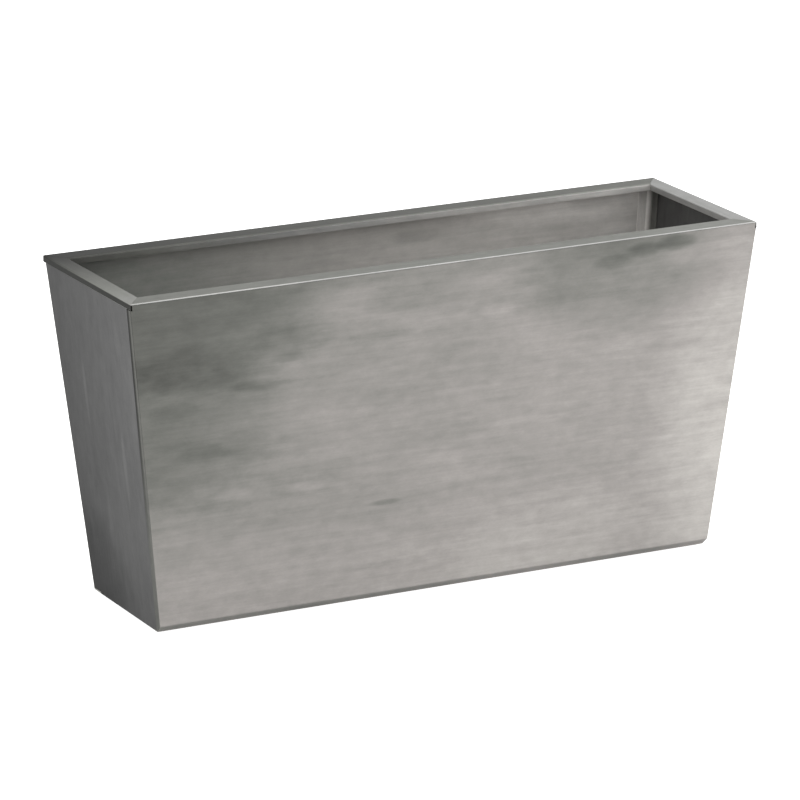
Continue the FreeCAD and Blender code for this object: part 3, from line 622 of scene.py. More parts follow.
class MeshDraft:
    """Vertices and faces of a piece, gathered skin by skin."""

    def __init__(self, rings: list[Ring] | None = None, looped: bool = False) -> None:
        """Starts with nothing, or with one skin.

        Args:
            rings: The skin's rings.
            looped: Whether its last ring joins the first.
        """
        self.vertices: list[Vector] = []
        self.faces: list[tuple[int, ...]] = []
        if rings:
            self.add_skin(rings, looped)

    def add_skin(self, rings: list[Ring], looped: bool = False) -> None:
        """Joins rings of equal size into a closed skin.

        Args:
            rings: Counter-clockwise rings from the bottom up, on the outside.
            looped: Whether the last ring joins the first; if not, both ends get a cap.
        """
        start = len(self.vertices)
        count = len(rings[0])
        for ring in rings:
            self.vertices.extend(ring)
        for row in range(len(rings) if looped else len(rings) - 1):
            low = start + row * count
            high = start + (row + 1) % len(rings) * count
            for number in range(count):
                following = (number + 1) % count
                self.faces.append((low + number, low + following, high + following, high + number))
        if not looped:
            last = start + (len(rings) - 1) * count
            self.faces.append(tuple(start + number for number in reversed(range(count))))
            self.faces.append(tuple(last + number for number in range(count)))

    def build(self, name: str, sharp_degrees: float = 32.0) -> Object:
        """Makes the object, smooth but for its sharp edges.

        Args:
            name: The piece's name.
            sharp_degrees: Edges that bend more than this stay sharp.

        Returns:
            The new object.
        """
        mesh = bpy.data.meshes.new(name)
        mesh.from_pydata([tuple(vertex) for vertex in self.vertices], [], self.faces)
        shaped = bmesh.new()
        shaped.from_mesh(mesh)
        for face in shaped.faces:
            face.smooth = True
        for edge in shaped.edges:
            edge.smooth = edge.calc_face_angle(0.0) < math.radians(sharp_degrees)
        shaped.to_mesh(mesh)
        shaped.free()
        return linked(name, mesh)


def angles(segments: int) -> list[float]:
    """Gives evenly spaced angles round a full turn."""
    return [FULL_TURN * number / segments for number in range(segments)]


def polar(at: Matrix, radius: float, angle: float, level: float) -> Vector:
    """Gives a point by its radius, angle and level round a piece's own axis."""
    return at @ Vector((radius * math.cos(angle), radius * math.sin(angle), level))


def circle(radius: float, level: float, at: Matrix, segments: int) -> Ring:
    """Gives a circle of points round a piece's own axis, counter-clockwise."""
    return [polar(at, radius, angle, level) for angle in angles(segments)]


def softened(profile: Profile, reach: float, steps: int = 3) -> Profile:
    """Rounds the corners inside an open profile.

    Args:
        profile: Pairs of radius and level.
        reach: How far from a corner its rounding starts.
        steps: Points in each rounding.

    Returns:
        The longer profile.
    """
    points = [Vector(pair) for pair in profile]
    rounded = [points[0]]
    for before, corner, after in zip(points, points[1:], points[2:]):
        shorter = min((before - corner).length, (after - corner).length)
        room = min(reach, shorter * ROUNDED_SHARE)
        first = corner + (before - corner).normalized() * room
        last = corner + (after - corner).normalized() * room
        for step in range(steps + 1):
            share = step / steps
            rounded.append(first.lerp(corner, share).lerp(corner.lerp(last, share), share))
    rounded.append(points[-1])
    return [(point.x, point.y) for point in rounded]


def turned(profile: Profile, at: Matrix, segments: int = 48) -> list[Ring]:
    """Turns a profile of radius and level pairs round the piece's axis."""
    return [circle(radius, level, at, segments) for radius, level in profile]


@dataclass(frozen=True)
class Thread:
    """A right-handed screw thread."""

    radius: float
    pitch: float
    rows_per_pitch: int = 6
    segments: int = 28
    depth_share: float = 0.55

    def rings(self, low: float, high: float, at: Matrix) -> list[Ring]:
        """Gives the rings of a threaded rod.

        Args:
            low: Where the thread starts, along the axis.
            high: Where it ends, with a chamfered tip.
            at: The rod's place and direction.

        Returns:
            The rings from low to high.
        """
        rows = max(4, round((high - low) / self.pitch * self.rows_per_pitch))
        depth = self.pitch * self.depth_share
        rings = []
        for row in range(rows + 1):
            level = low + (high - low) * row / rows
            tip = self.radius - depth + max(0.0, high - level)
            ring = []
            for angle in angles(self.segments):
                phase = (level / self.pitch - angle / FULL_TURN) % 1.0
                radius = min(self.radius - depth * abs(2 * phase - 1), tip)
                ring.append(polar(at, radius, angle, level))
            rings.append(ring)
        return rings


@dataclass(frozen=True)
class Hexagon:
    """A chamfered hexagonal head or nut."""

    across: float
    height: float
    bore: float = 0.0
    segments: int = 48
    face_share: float = 0.97
    sink_share: float = 0.12
    chamfer_degrees: float = 30.0

    def rings(self, at: Matrix) -> list[Ring]:
        """Gives its rings, a closed loop if it has a bore.

        Args:
            at: The place and direction of its bottom face.

        Returns:
            The rings.
        """
        flat = self.across / 2
        face = flat * self.face_share
        slope = math.tan(math.radians(self.chamfer_degrees))

        def rim(from_top: bool) -> Ring:
            """Gives the edge where the chamfer meets the flats.

            Args:
                from_top: Whether it is the upper edge.

            Returns:
                The edge's points.
            """
            ring = []
            for angle in angles(self.segments):
                reach = flat / math.cos(angle % (FULL_TURN / 6) - FULL_TURN / 12)
                drop = (reach - face) * slope
                ring.append(polar(at, reach, angle, self.height - drop if from_top else drop))
            return ring

        outside = [circle(face, 0.0, at, self.segments), rim(False)]
        outside += [rim(True), circle(face, self.height, at, self.segments)]
        if not self.bore:
            return outside
        bore, top, sink = self.bore, self.height, self.bore * self.sink_share
        inside = [(bore + sink, top), (bore, top - sink), (bore, sink), (bore + sink, 0.0)]
        return outside + turned(inside, at, self.segments)


@dataclass(frozen=True)
class Bead:
    """A rippled bead of weld or sealant, which thins out at open ends."""

    radius: float
    segments: int = 10
    ripple: float = 0.10
    ripple_step: float = 1.9
    swell: float = 0.06
    swell_step: float = 0.77
    swell_start: float = 1.0
    end_share: float = 0.35

    def rings(self, path: list[Vector], up: Vector, looped: bool = False) -> list[Ring]:
        """Gives the rings of the bead along a path.

        Args:
            path: Evenly spaced points along the joint.
            up: A direction that is never along the path.
            looped: Whether the path closes on itself.

        Returns:
            The rings.
        """
        count = len(path)
        rings = []
        for number, point in enumerate(path):
            before = path[number - 1] if looped or number else point
            after = path[(number + 1) % count] if looped or number + 1 < count else point
            along = (after - before).normalized()
            side = along.cross(up).normalized()
            over = side.cross(along)
            radius = 1 + self.ripple * math.sin(number * self.ripple_step)
            radius += self.swell * math.sin(number * self.swell_step + self.swell_start)
            radius *= self.radius
            if not looped:
                radius *= min(1.0, self.end_share * (1 + min(number, count - 1 - number)))
            turns = angles(self.segments)
            spokes = [side * math.cos(angle) - over * math.sin(angle) for angle in turns]
            rings.append([point + spoke * radius for spoke in spokes])
        return rings


def spaced(first: Vector, last: Vector, gap: float) -> list[Vector]:
    """Gives evenly spaced points from one point up to, but not at, another."""
    count = max(1, round((last - first).length / gap))
    return [first.lerp(last, number / count) for number in range(count)]


def foot_of(node: str) -> Matrix:
    """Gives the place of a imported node's foot: the middle of its box, at the bottom."""
    low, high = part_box(node)
    return Matrix.Translation(((low.x + high.x) / 2, (low.y + high.y) / 2, low.z))


def size_of(node: str) -> Pair:
    """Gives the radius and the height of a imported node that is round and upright."""
    low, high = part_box(node)
    return (high.x - low.x) / 2, high.z - low.z


def far_vertex(node: str, *directions: Vector) -> Vector:
    """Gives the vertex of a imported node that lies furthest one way, ties settled by the next way.

    Args:
        node: The node's name.
        directions: The ways, the most important first.

    Returns:
        The vertex's place.
    """
    places = [vertex.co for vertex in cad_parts[node].data.vertices]
    for direction in directions:
        furthest = max(place.dot(direction) for place in places)
        places = [place for place in places if place.dot(direction) > furthest - SAME_LEVEL]
    return places[0].copy()


def dress(piece: Object, material: Material) -> None:
    """Gives a piece its one material.

    Args:
        piece: The piece.
        material: What it gets in each of its slots.
    """
    if not piece.material_slots:
        piece.data.materials.append(material)
    for slot in piece.material_slots:
        slot.material = material


@dataclass
class SubAssembly:
    """What the classes below share: a body to ride on and the ways to finish and add pieces."""

    body: str = "planter_body"
    merge: float = 0.001 * MM
    sharp_degrees: float = 38.0

    def sheet_node(self, node: str, finish: Finish, edge: float = 0.25 * MM) -> None:
        """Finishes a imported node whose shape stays, and breaks its sharp edges.

        Args:
            node: The node's name.
            finish: Its finish.
            edge: How wide its edges are broken.
        """
        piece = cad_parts[node]
        dress(piece, material_of(finish))
        weld = piece.modifiers.new("joined_edges", "WELD")
        weld.merge_threshold = self.merge
        bevel = piece.modifiers.new("broken_edges", "BEVEL")
        bevel.width = edge
        bevel.segments = 2
        bevel.limit_method = "ANGLE"
        bevel.angle_limit = math.radians(self.sharp_degrees)
        bevel.miter_outer = "MITER_ARC"
        piece.modifiers.new("flat_faces", "WEIGHTED_NORMAL")
        log.info("%s: finished", node)

    def new_piece(
        self,
        draft: MeshDraft,
        name: str,
        finish: Finish,
        slot: str = "",
        stands_for: tuple[str, ...] = (),
        body: str = "",
    ) -> Object:
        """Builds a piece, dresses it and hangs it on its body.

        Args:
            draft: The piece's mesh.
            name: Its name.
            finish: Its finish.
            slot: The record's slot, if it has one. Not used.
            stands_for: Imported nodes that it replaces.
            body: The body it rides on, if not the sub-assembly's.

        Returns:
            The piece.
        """
        piece = draft.build(name)
        dress(piece, material_of(finish))
        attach(piece, body or self.body)
        if stands_for:
            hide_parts(*stands_for)
        log.info("%s: %d faces", name, len(piece.data.polygons))
        return piece

    def renew(
        self, node: str, suffix: str, draft: MeshDraft, finish: Finish, slot: str, body: str = ""
    ) -> None:
        """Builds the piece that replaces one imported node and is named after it."""
        self.new_piece(draft, f"{node}_{suffix}", finish, slot, (node,), body)


# What each panel's tone is marked with, in metres along the panel and up it. Some marks are blotches of
# the film; others are painted reflection, shadow and light, noted where they stand.
FRONT_MARKS = (
    # painted reflection: the darker upper left of the front
    Mark(-0.420, 0.450, 0.240, 0.100, -0.080),
    Mark(-0.450, 0.300, 0.200, 0.120, -0.060),
    Mark(-0.400, 0.050, 0.160, 0.110, 0.028),
    Mark(0.280, 0.450, 0.180, 0.090, -0.070),
    # painted reflection: the brighter right end of the front
    Mark(0.500, 0.200, 0.160, 0.240, 0.080),
    Mark(0.200, 0.500, 0.700, 0.030, -0.035),
    # painted shadow: a dark line along the foot
    Mark(0.000, 0.009, 2.000, 0.006, -0.085),
    Mark(0.000, 0.000, 0.600, 0.140, 0.036),
    Mark(-0.060, 0.455, 0.090, 0.025, -0.035),
    Mark(0.367, 0.485, 0.034, 0.013, -0.060),
    Mark(0.315, 0.480, 0.030, 0.012, -0.040),
    Mark(0.263, 0.467, 0.035, 0.012, -0.040),
    Mark(-0.096, 0.151, 0.028, 0.005, -0.050),
    Mark(-0.434, 0.333, 0.040, 0.016, -0.016),
    Mark(-0.388, 0.263, 0.045, 0.016, -0.018),
    Mark(-0.255, 0.391, 0.024, 0.008, -0.022),
    Mark(-0.336, 0.198, 0.030, 0.010, 0.030),
    Mark(-0.224, 0.193, 0.030, 0.010, 0.030),
    Mark(0.079, 0.418, 0.034, 0.010, 0.030),
    Mark(-0.112, 0.405, 0.060, 0.008, -0.030),
    Mark(-0.299, 0.356, 0.060, 0.009, -0.030),
)
BACK_MARKS = (
    Mark(0.386, 0.477, 0.040, 0.014, -0.120, inner=True),
    # painted light: a light band inside under the back rim's lip, where the rim shades the wall
    Mark(0.420, 0.500, 0.280, 0.050, 0.300, inner=True),
    Mark(0.101, 0.459, 0.050, 0.012, -0.090, inner=True),
    Mark(0.340, 0.400, 0.240, 0.110, -0.070),
    Mark(-0.280, 0.330, 0.090, 0.020, -0.040),
    Mark(-0.050, 0.120, 0.060, 0.012, -0.040),
    Mark(-0.420, 0.180, 0.140, 0.200, 0.060),
    Mark(0.120, 0.000, 0.500, 0.120, 0.040),
    Mark(0.060, 0.440, 0.040, 0.010, 0.030),
)
END_MARKS = (
    Mark(0.100, 0.030, 0.130, 0.110, -0.022),
    Mark(0.055, 0.322, 0.006, 0.055, 0.018),
    Mark(-0.057, 0.233, 0.006, 0.055, 0.018),
    Mark(0.020, 0.140, 0.008, 0.050, 0.012),
)


@dataclass
class Shell(SubAssembly):
    """The four panels and the strips up the inside corners."""

    def build(self) -> None:
        """Dresses the panels and strips."""
        self.sheet_node("front_panel", self.front_finish())
        self.sheet_node("back_panel", self.back_finish())
        for node in ("left_end_panel", "right_end_panel"):
            self.sheet_node(node, self.end_finish(node))
        for corner in CORNERS:
            self.sheet_node(f"corner_strip_{corner}", self.strip_finish())

    @staticmethod
    def strip_finish() -> BrushedMetal:
        """Gives the strips' finish: along the long panels it follows their painted inside light,
        brighter towards the top, and the slanted faces and end sides are darker as painted shade.

        Returns:
            The finish.
        """
        return BrushedMetal(
            "brushed_strip",
            Grain.UPRIGHT,
            # painted shade on the slanted faces and end sides; painted light along the long panels
            Tone(0.12),
            WARM,
            zones=(Zone(Place.LONG_WALL_SIDE, Tone(0.34, slope_x=0.40, slope_z=0.90)),),
            clouds=0.12,
            metallic=0.25,
        )

    @staticmethod
    def inner_long_zone() -> Zone:
        """Gives the tone inside the long panels, brighter towards the top and the right as painted light
        against the shade under the rim.
        """
        # painted light: brighter towards the top and the right
        return Zone(Place.INNER_LONG_FACE, Tone(0.30, slope_x=0.40, slope_z=0.35))

    def front_finish(self) -> BrushedMetal:
        """Gives the front panel's finish: darker at the upper left and brighter at the right as painted
        reflection, and darker on the faces towards the ends as painted shade.

        Returns:
            The finish.
        """
        return BrushedMetal(
            "brushed_front_panel",
            Grain.LENGTHWISE,
            # painted reflection: brighter towards the right
            Tone(0.206, slope_x=0.085, slope_z=-0.01),
            WARM,
            # painted shade: the faces towards the ends are darker
            zones=(self.inner_long_zone(), Zone(Place.TOWARDS_END, Tone(0.100))),
            marks=FRONT_MARKS,
            seam_shade=SeamShade(),
            painted_arris_glint=0.03,
            inner_metallic=0.25,
        )

    def back_finish(self) -> BrushedMetal:
        """Gives the back panel's finish.

        Returns:
            The finish.
        """
        return BrushedMetal(
            "brushed_back_panel",
            Grain.LENGTHWISE,
            Tone(0.23, slope_x=-0.06, slope_z=-0.10),
            FILMED,
            zones=(self.inner_long_zone(),),
            marks=BACK_MARKS,
            inner_metallic=0.25,
        )

    @staticmethod
    def end_finish(node: str) -> BrushedMetal:
        """Gives an end panel's finish, darker than the long ones and darker towards the back, as painted
        shade.

        Args:
            node: The panel's node.

        Returns:
            The finish.
        """
        return BrushedMetal(
            f"brushed_{node}",
            Grain.UPRIGHT,
            # painted shade: darker than the long panels outside and inside, and darker towards the back
            Tone(0.074, slope_y=-0.16, slope_z=0.03),
            NEUTRAL,
            zones=(Zone(Place.INNER_END_FACE, Tone(0.12)),),
            marks=END_MARKS,
            seam_shade=SeamShade(),
        )


@dataclass
class Rim(SubAssembly):
    """The rim rails, their corner plates, studs and nuts."""

    stud: Thread = Thread(radius=2.5 * MM, pitch=0.8 * MM, rows_per_pitch=4, segments=18)
    stud_length: float = 12 * MM
    nut: Hexagon = Hexagon(across=8 * MM, height=4 * MM, bore=2.6 * MM)
    corner_stud: float = 45 * MM
    stud_inset: float = 15 * MM
    long_rail_studs: int = 6
    rail_sheet: float = 1.5 * MM
    rail_edge: float = 0.12 * MM
    panel_sheet: float = 2.5 * MM
    plate_sheet: float = 3 * MM

    def stud_places(self) -> list[tuple[Vector, bool]]:
        """Gives each stud's top and whether it passes a corner plate.

        Returns:
            Pairs of a point under the rim's web and a flag.
        """
        low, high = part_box("front_rim_rail")
        half_length, half_width, level = high.x, -low.y, high.z - self.rail_sheet
        last = half_length - self.corner_stud
        places = []
        for side in SIDES:
            across = side * (half_width - self.stud_inset)
            for number in range(self.long_rail_studs):
                along = last * (2 * number / (self.long_rail_studs - 1) - 1)
                at_corner = number in (0, self.long_rail_studs - 1)
                places.append((Vector((along, across, level)), at_corner))
            along = side * (half_length - self.stud_inset)
            for end in SIDES:
                places.append((Vector((along, end * (half_width - self.corner_stud), level)), True))
        return places

    @staticmethod
    def rail_finishes() -> tuple[BrushedMetal, ...]:
        """Gives the finish of each rail, named after its node; the tones of the tops and lips differ
        from rail to rail as painted light, shade and reflection.

        Returns:
            The four finishes.
        """
        front_top = Tone(0.190, slope_x=0.04)
        back_top = Tone(0.090, slope_x=0.12)
        # painted light and shade: flat tops and lips get different tones by where light falls; the left
        # lip is dark as painted shade, the front lip bright as a painted highlight, the back lip
        # brighter to the right
        rails = (
            ("front_rim_rail", Grain.LENGTHWISE, front_top, Tone(0.36), 0.16),
            ("back_rim_rail", Grain.LENGTHWISE, back_top, Tone(0.40, slope_x=0.60), 0.01),
            ("left_rim_rail", Grain.CROSSWISE, Tone(0.135, slope_y=-0.83), Tone(0.028), 0.02),
            ("right_rim_rail", Grain.CROSSWISE, Tone(0.31), Tone(0.38), 0.0),
        )
        return tuple(
            BrushedMetal(
                f"brushed_{node}",
                grain,
                top,
                OLIVE,
                zones=(Zone(Place.UPRIGHT_EDGE, edge),),
                painted_arris_glint=painted_arris_glint,
                clouds=0.12,
                streaks=0.12,
            )
            for node, grain, top, edge, painted_arris_glint in rails
        )

    def build(self) -> None:
        """Dresses the rails and plates and threads the studs."""
        for finish in self.rail_finishes():
            self.sheet_node(finish.name.removeprefix("brushed_"), finish, self.rail_edge)
        for corner in CORNERS:
            self.sheet_node(f"rim_corner_plate_{corner}", MILL_PLATE)
        zinc = zinc_fastener("zinc_rim_fastener")
        studs, nuts = MeshDraft(), MeshDraft()
        for place, at_corner in self.stud_places():
            downwards = Matrix.Translation(place) @ UPSIDE_DOWN
            studs.add_skin(self.stud.rings(0.0, self.stud_length, downwards))
            drop = self.nut.height + self.panel_sheet + (self.plate_sheet if at_corner else 0.0)
            nuts.add_skin(self.nut.rings(Matrix.Translation(place - UP * drop)), looped=True)
        self.new_piece(studs, "rim_stud_threads", zinc, "zinc_fastener", ("rim_studs",))
        self.new_piece(nuts, "rim_hex_nuts", zinc, "zinc_fastener", ("rim_nuts",))


@dataclass
class Base(SubAssembly):
    """The raised pan, its bearers and the sealant round it."""

    sealant: Bead = Bead(radius=2.2 * MM)
    sealant_step: float = 6 * MM

    def build(self) -> None:
        """Dresses the pan and bearers and lays the sealant."""
        self.sheet_node("base_pan", ZINC_PAN)
        for place in ("left", "middle", "right"):
            self.sheet_node(f"{place}_bearer", ZINC_BEARER)
        self.new_piece(self.sealant_bead(), "pan_sealant", GREY_SEALANT)

    def sealant_bead(self) -> MeshDraft:
        """Runs a bead round the pan's edge and past the corner strips.

        Returns:
            The bead's mesh.
        """
        corners = self.pan_corners()
        path = []
        for first, last in zip(corners, corners[1:] + corners[:1]):
            path.extend(spaced(first, last, self.sealant_step))
        return MeshDraft(self.sealant.rings(path, UP, looped=True), looped=True)

    @staticmethod
    def pan_corners() -> list[Vector]:
        """Gives the foot of each strip's slanted face, counter-clockwise round the pan.

        Returns:
            Eight points on top of the pan.
        """
        points = []
        for corner in ("front_right", "back_right", "back_left", "front_left"):
            along = Vector((1 if "right" in corner else -1, 0, 0))
            across = Vector((0, 1 if "back" in corner else -1, 0))
            node = f"corner_strip_{corner}"
            by_side = far_vertex(node, -UP, across, along)
            by_end = far_vertex(node, -UP, along, across)
            points += [by_side, by_end] if along.x == -across.y else [by_end, by_side]
        return points


@dataclass
class Ties(SubAssembly):
    """The cross ties, their lugs and bolts, and the lugs' welds."""

    bolt: Thread = Thread(radius=4 * MM, pitch=1.25 * MM)
    head: Hexagon = Hexagon(across=13 * MM, height=5.3 * MM)
    nut: Hexagon = Hexagon(across=13 * MM, height=6.5 * MM, bore=4.1 * MM)
    over: float = 3 * MM
    washer_radius: float = 8 * MM
    washer_bore: float = 4.5 * MM
    washer_sheet: float = 1.6 * MM
    washer_edge: float = 0.24 * MM
    weld: Bead = Bead(radius=1.9 * MM)
    weld_step: float = 1.1 * MM
    ties: tuple[str, ...] = ("left_cross_tie", "right_cross_tie")
    lugs: tuple[str, ...] = (
        "tie_lug_left_front",
        "tie_lug_left_back",
        "tie_lug_right_back",
        "tie_lug_right_front",
    )

    def build(self) -> None:
        """Dresses the ties and lugs and adds their fasteners and welds."""
        for node in self.ties + self.lugs:
            self.sheet_node(node, MILL_TIE)
        zinc = zinc_fastener("zinc_tie_fastener")
        bolts, washers, nuts = MeshDraft(), MeshDraft(), MeshDraft()
        for at, grip in self.bolt_places():
            under = self.head.height + self.washer_sheet + grip
            seat = under + self.washer_sheet
            bolts.add_skin(self.head.rings(at))
            bolts.add_skin(self.bolt.rings(self.head.height, seat + self.nut.height + self.over, at))
            for start in (self.head.height, under):
                washers.add_skin(self.washer_rings(start, at), looped=True)
            nuts.add_skin(self.nut.rings(at @ Matrix.Translation(UP * seat)), looped=True)
        self.new_piece(bolts, "tie_hex_bolts", zinc, "zinc_fastener", ("tie_bolts",))
        self.new_piece(washers, "tie_flat_washers", zinc, "zinc_fastener", ("tie_washers",))
        self.new_piece(nuts, "tie_hex_nuts", zinc, "zinc_fastener", ("tie_nuts",))
        self.new_piece(self.welds(), "lug_welds", WELD_BEAD)

    def bolt_places(self) -> list[tuple[Matrix, float]]:
        """Gives where each bolt's head stands, and how much metal the bolt holds together.

        Returns:
            Pairs of a place with its direction and a thickness.
        """
        lug_low, lug_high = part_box(self.lugs[0])
        bolt_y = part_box("tie_washers")[1].y - self.washer_radius
        places = []
        for end, tie in zip(SIDES, self.ties):
            low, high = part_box(tie)
            grip = high.x - low.x + lug_high.x - lug_low.x
            head_x = (high.x if end > 0 else low.x) + end * (self.washer_sheet + self.head.height)
            inwards = Matrix.Rotation(-end * FULL_TURN / 4, 4, "Y")
            for side in SIDES:
                place = Vector((head_x, side * bolt_y, (low.z + high.z) / 2))
                places.append((Matrix.Translation(place) @ inwards, grip))
        return places

    def washer_rings(self, start: float, at: Matrix) -> list[Ring]:
        """Gives a washer's rings.

        Args:
            start: Where it starts along the bolt.
            at: The bolt's place and direction.

        Returns:
            The rings, a closed loop.
        """
        top = start + self.washer_sheet
        bore, radius, edge = self.washer_bore, self.washer_radius, self.washer_edge
        lower = [(bore, start), (radius - edge, start), (radius, start + edge)]
        upper = [(radius, top - edge), (radius - edge, top), (bore, top)]
        return turned(lower + upper, at)

    def welds(self) -> MeshDraft:
        """Lays a bead on both faces of each lug, where it meets the panel.

        Returns:
            The beads' mesh.
        """
        beads = MeshDraft()
        for node in self.lugs:
            outwards = Vector((0, -1 if "front" in node else 1, 0))
            for side in SIDES:
                face = Vector((side, 0, 0))
                foot, head = (far_vertex(node, way, outwards, face) for way in (-UP, UP))
                beads.add_skin(self.weld.rings(spaced(foot, head, self.weld_step), AHEAD))
        return beads


@dataclass(frozen=True)
class Plug:
    """A drain plug: a tapered shank, a head, a neck and a ribbed knob."""

    foot_middle: float = 8 * MM
    tip_radius: float = 11.1 * MM
    shank_radius: float = 11.7 * MM
    shank: float = 14 * MM
    head: float = 3.5 * MM
    neck_radius: float = 4 * MM
    neck: float = 6 * MM
    knob_radius: float = 9 * MM
    knob: float = 6 * MM
    top_middle: float = 1 * MM
    ribs: int = 14
    rib_depth: float = 0.45 * MM
    least_ribbed: float = 6 * MM
    plain_below: float = 0.2
    plain_above: float = 0.1
    segments: int = 112

    def rings(self, head_radius: float, rounding: float, at: Matrix) -> list[Ring]:
        """Gives its rings from the shank's tip up.

        Args:
            head_radius: The radius of the head that seats on the bush.
            rounding: How far its corners are rounded.
            at: The place of the shank's tip.

        Returns:
            The rings.
        """
        head_top = self.shank + self.head
        knob_foot = head_top + self.neck
        top = knob_foot + self.knob
        profile = [
            (self.foot_middle, 0.0),
            (self.tip_radius, 0.0),
            (self.shank_radius, self.shank),
            (head_radius, self.shank),
            (head_radius, head_top),
            (self.neck_radius, head_top),
            (self.neck_radius, knob_foot),
            (self.knob_radius, knob_foot + self.knob / 3),
            (self.knob_radius, top - self.knob / 3),
            (self.neck_radius, top),
            (self.top_middle, top),
        ]
        ribbed_from = knob_foot + self.knob * self.plain_below
        ribbed_to = top - self.knob * self.plain_above
        rings = []
        for radius, level in softened(profile, rounding):
            ribbed = ribbed_from < level < ribbed_to and radius > self.least_ribbed
            depth = self.rib_depth if ribbed else 0.0
            ring = []
            for angle in angles(self.segments):
                dent = depth * (0.5 - 0.5 * math.cos(angle * self.ribs))
                ring.append(polar(at, radius - dent, angle, level))
            rings.append(ring)
        return rings


@dataclass
class Drains(SubAssembly):
    """The drain bushes, their locknuts and the plugs."""

    bore: float = 12 * MM
    thread: Thread = Thread(radius=16 * MM, pitch=2 * MM, segments=64, depth_share=0.35)
    thread_gap: float = 0.3 * MM
    flange_height: float = 3 * MM
    edge: float = 0.8 * MM
    nut: Hexagon = Hexagon(across=42 * MM, height=8 * MM, bore=16.1 * MM, segments=72)
    plug: Plug = Plug()

    def build(self) -> None:
        """Models each drain's bush, locknut and plug."""
        for side in ("left", "right"):
            node = f"drain_bush_{side}"
            bush = MeshDraft(self.bush_rings(node), looped=True)
            self.renew(node, "moulded", bush, BLACK_PLASTIC, "black_plastic")
            node = f"drain_locknut_{side}"
            locknut = MeshDraft(self.nut.rings(foot_of(node)), looped=True)
            self.renew(node, "moulded", locknut, BLACK_PLASTIC, "black_plastic")
            node = f"drain_plug_{side}"
            plug = MeshDraft(self.plug.rings(size_of(node)[0], self.edge, foot_of(node)))
            self.renew(node, "moulded", plug, PLUG_RUBBER, "black_rubber", f"{side}_plug")

    def bush_rings(self, node: str) -> list[Ring]:
        """Gives a bush's rings, with a thread below its flange.

        Args:
            node: The bush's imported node.

        Returns:
            The rings, a closed loop.
        """
        flange, top = size_of(node)
        seat = top - self.flange_height
        at = foot_of(node)
        downwards = at @ Matrix.Translation(UP * seat) @ UPSIDE_DOWN
        rod = [ring[::-1] for ring in reversed(self.thread.rings(self.thread_gap, seat, downwards))]
        outside = [(self.thread.radius, seat), (flange, seat), (flange, top)]
        profile = softened(outside + [(self.bore, top), (self.bore, 0.0)], self.edge)
        return rod + turned(profile, at, self.thread.segments)


@dataclass
class Feet(SubAssembly):
    """The levelling feet and the weld nuts that hold them."""

    thread: Thread = Thread(radius=5 * MM, pitch=1.5 * MM)
    flange_radius: float = 9.5 * MM
    flange_height: float = 1.8 * MM
    slot_width: float = 1.6 * MM
    slot_depth: float = 2.5 * MM
    nut: Hexagon = Hexagon(across=17 * MM, height=8 * MM, bore=5.1 * MM)
    sole: float = 2 * MM
    sole_middle: float = 2 * MM
    groove: float = 0.5 * MM
    groove_starts: tuple[float, ...] = (6 * MM, 10 * MM, 14 * MM)
    pocket_radius: float = 9.7 * MM
    mouth_radius: float = 5.2 * MM
    lip: float = 0.8 * MM
    edge: float = 1 * MM
    rounding: float = 0.3 * MM
    pad_segments: int = 64
    screw_middle: float = 3 * MM

    def build(self) -> None:
        """Models each foot's pad, screw and nut."""
        zinc = zinc_fastener("zinc_foot_fastener")
        nuts = MeshDraft()
        seat_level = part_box("foot_weld_nuts")[0].z
        for corner in CORNERS:
            node = f"foot_pad_{corner}"
            pad = MeshDraft(self.pad_rings(node))
            self.renew(node, "moulded", pad, FOOT_RUBBER, "black_rubber", f"{corner}_pad")
            node = f"foot_screw_{corner}"
            self.renew(node, "threaded", self.screw(node), zinc, "zinc_fastener", f"{corner}_screw")
            seat = foot_of(node)
            seat.translation.z = seat_level
            nuts.add_skin(self.nut.rings(seat), looped=True)
        self.new_piece(nuts, "foot_hex_weld_nuts", zinc, "zinc_fastener", ("foot_weld_nuts",))

    def pad_rings(self, node: str) -> list[Ring]:
        """Gives a pad's rings, from the middle of its sole round to its pocket.

        Args:
            node: The pad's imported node.

        Returns:
            The rings.
        """
        radius, top = size_of(node)
        groove = self.groove
        sole = [(self.sole_middle, 0.0)]
        for start in self.groove_starts:
            sole.append((start, 0.0))
            sole += [(start + groove, groove), (start + 2 * groove, groove), (start + 3 * groove, 0.0)]
        rest = [
            (radius - self.edge, 0.0),
            (radius, self.edge),
            (radius, top - self.edge),
            (radius - self.edge, top),
            (self.mouth_radius, top),
            (self.mouth_radius, top - self.lip),
            (self.pocket_radius, top - self.lip),
            (self.pocket_radius, self.sole),
            (self.sole_middle, self.sole),
        ]
        return turned(softened(sole + rest, self.rounding), foot_of(node), self.pad_segments)

    def screw(self, node: str) -> MeshDraft:
        """Models a levelling screw with a flange and a slotted, threaded shank.

        Args:
            node: The screw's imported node.

        Returns:
            The screw's mesh.
        """
        low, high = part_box(node)
        at = foot_of(node)
        middle, rim, height = self.screw_middle, self.flange_radius, self.flange_height
        flange = [(middle, 0.0), (rim, 0.0), (rim, height), (middle, height)]
        draft = MeshDraft(turned(softened(flange, self.rounding), at, self.thread.segments))
        rings = self.thread.rings(height, high.z - low.z, at)
        slotted = [ring for ring in rings if ring[0].z > high.z - self.slot_depth]
        draft.add_skin(rings[: -len(slotted)] + slotted[:1])
        for side in SIDES:
            draft.add_skin([self.beside_slot(ring, at.translation.y, side) for ring in slotted])
        return draft

    def beside_slot(self, ring: Ring, middle: float, side: int) -> Ring:
        """Pushes a ring to one side of the driver slot, whose middle is given along Y."""
        wall = self.slot_width / 2
        return [Vector((p.x, middle + side * max(side * (p.y - middle), wall), p.z)) for p in ring]


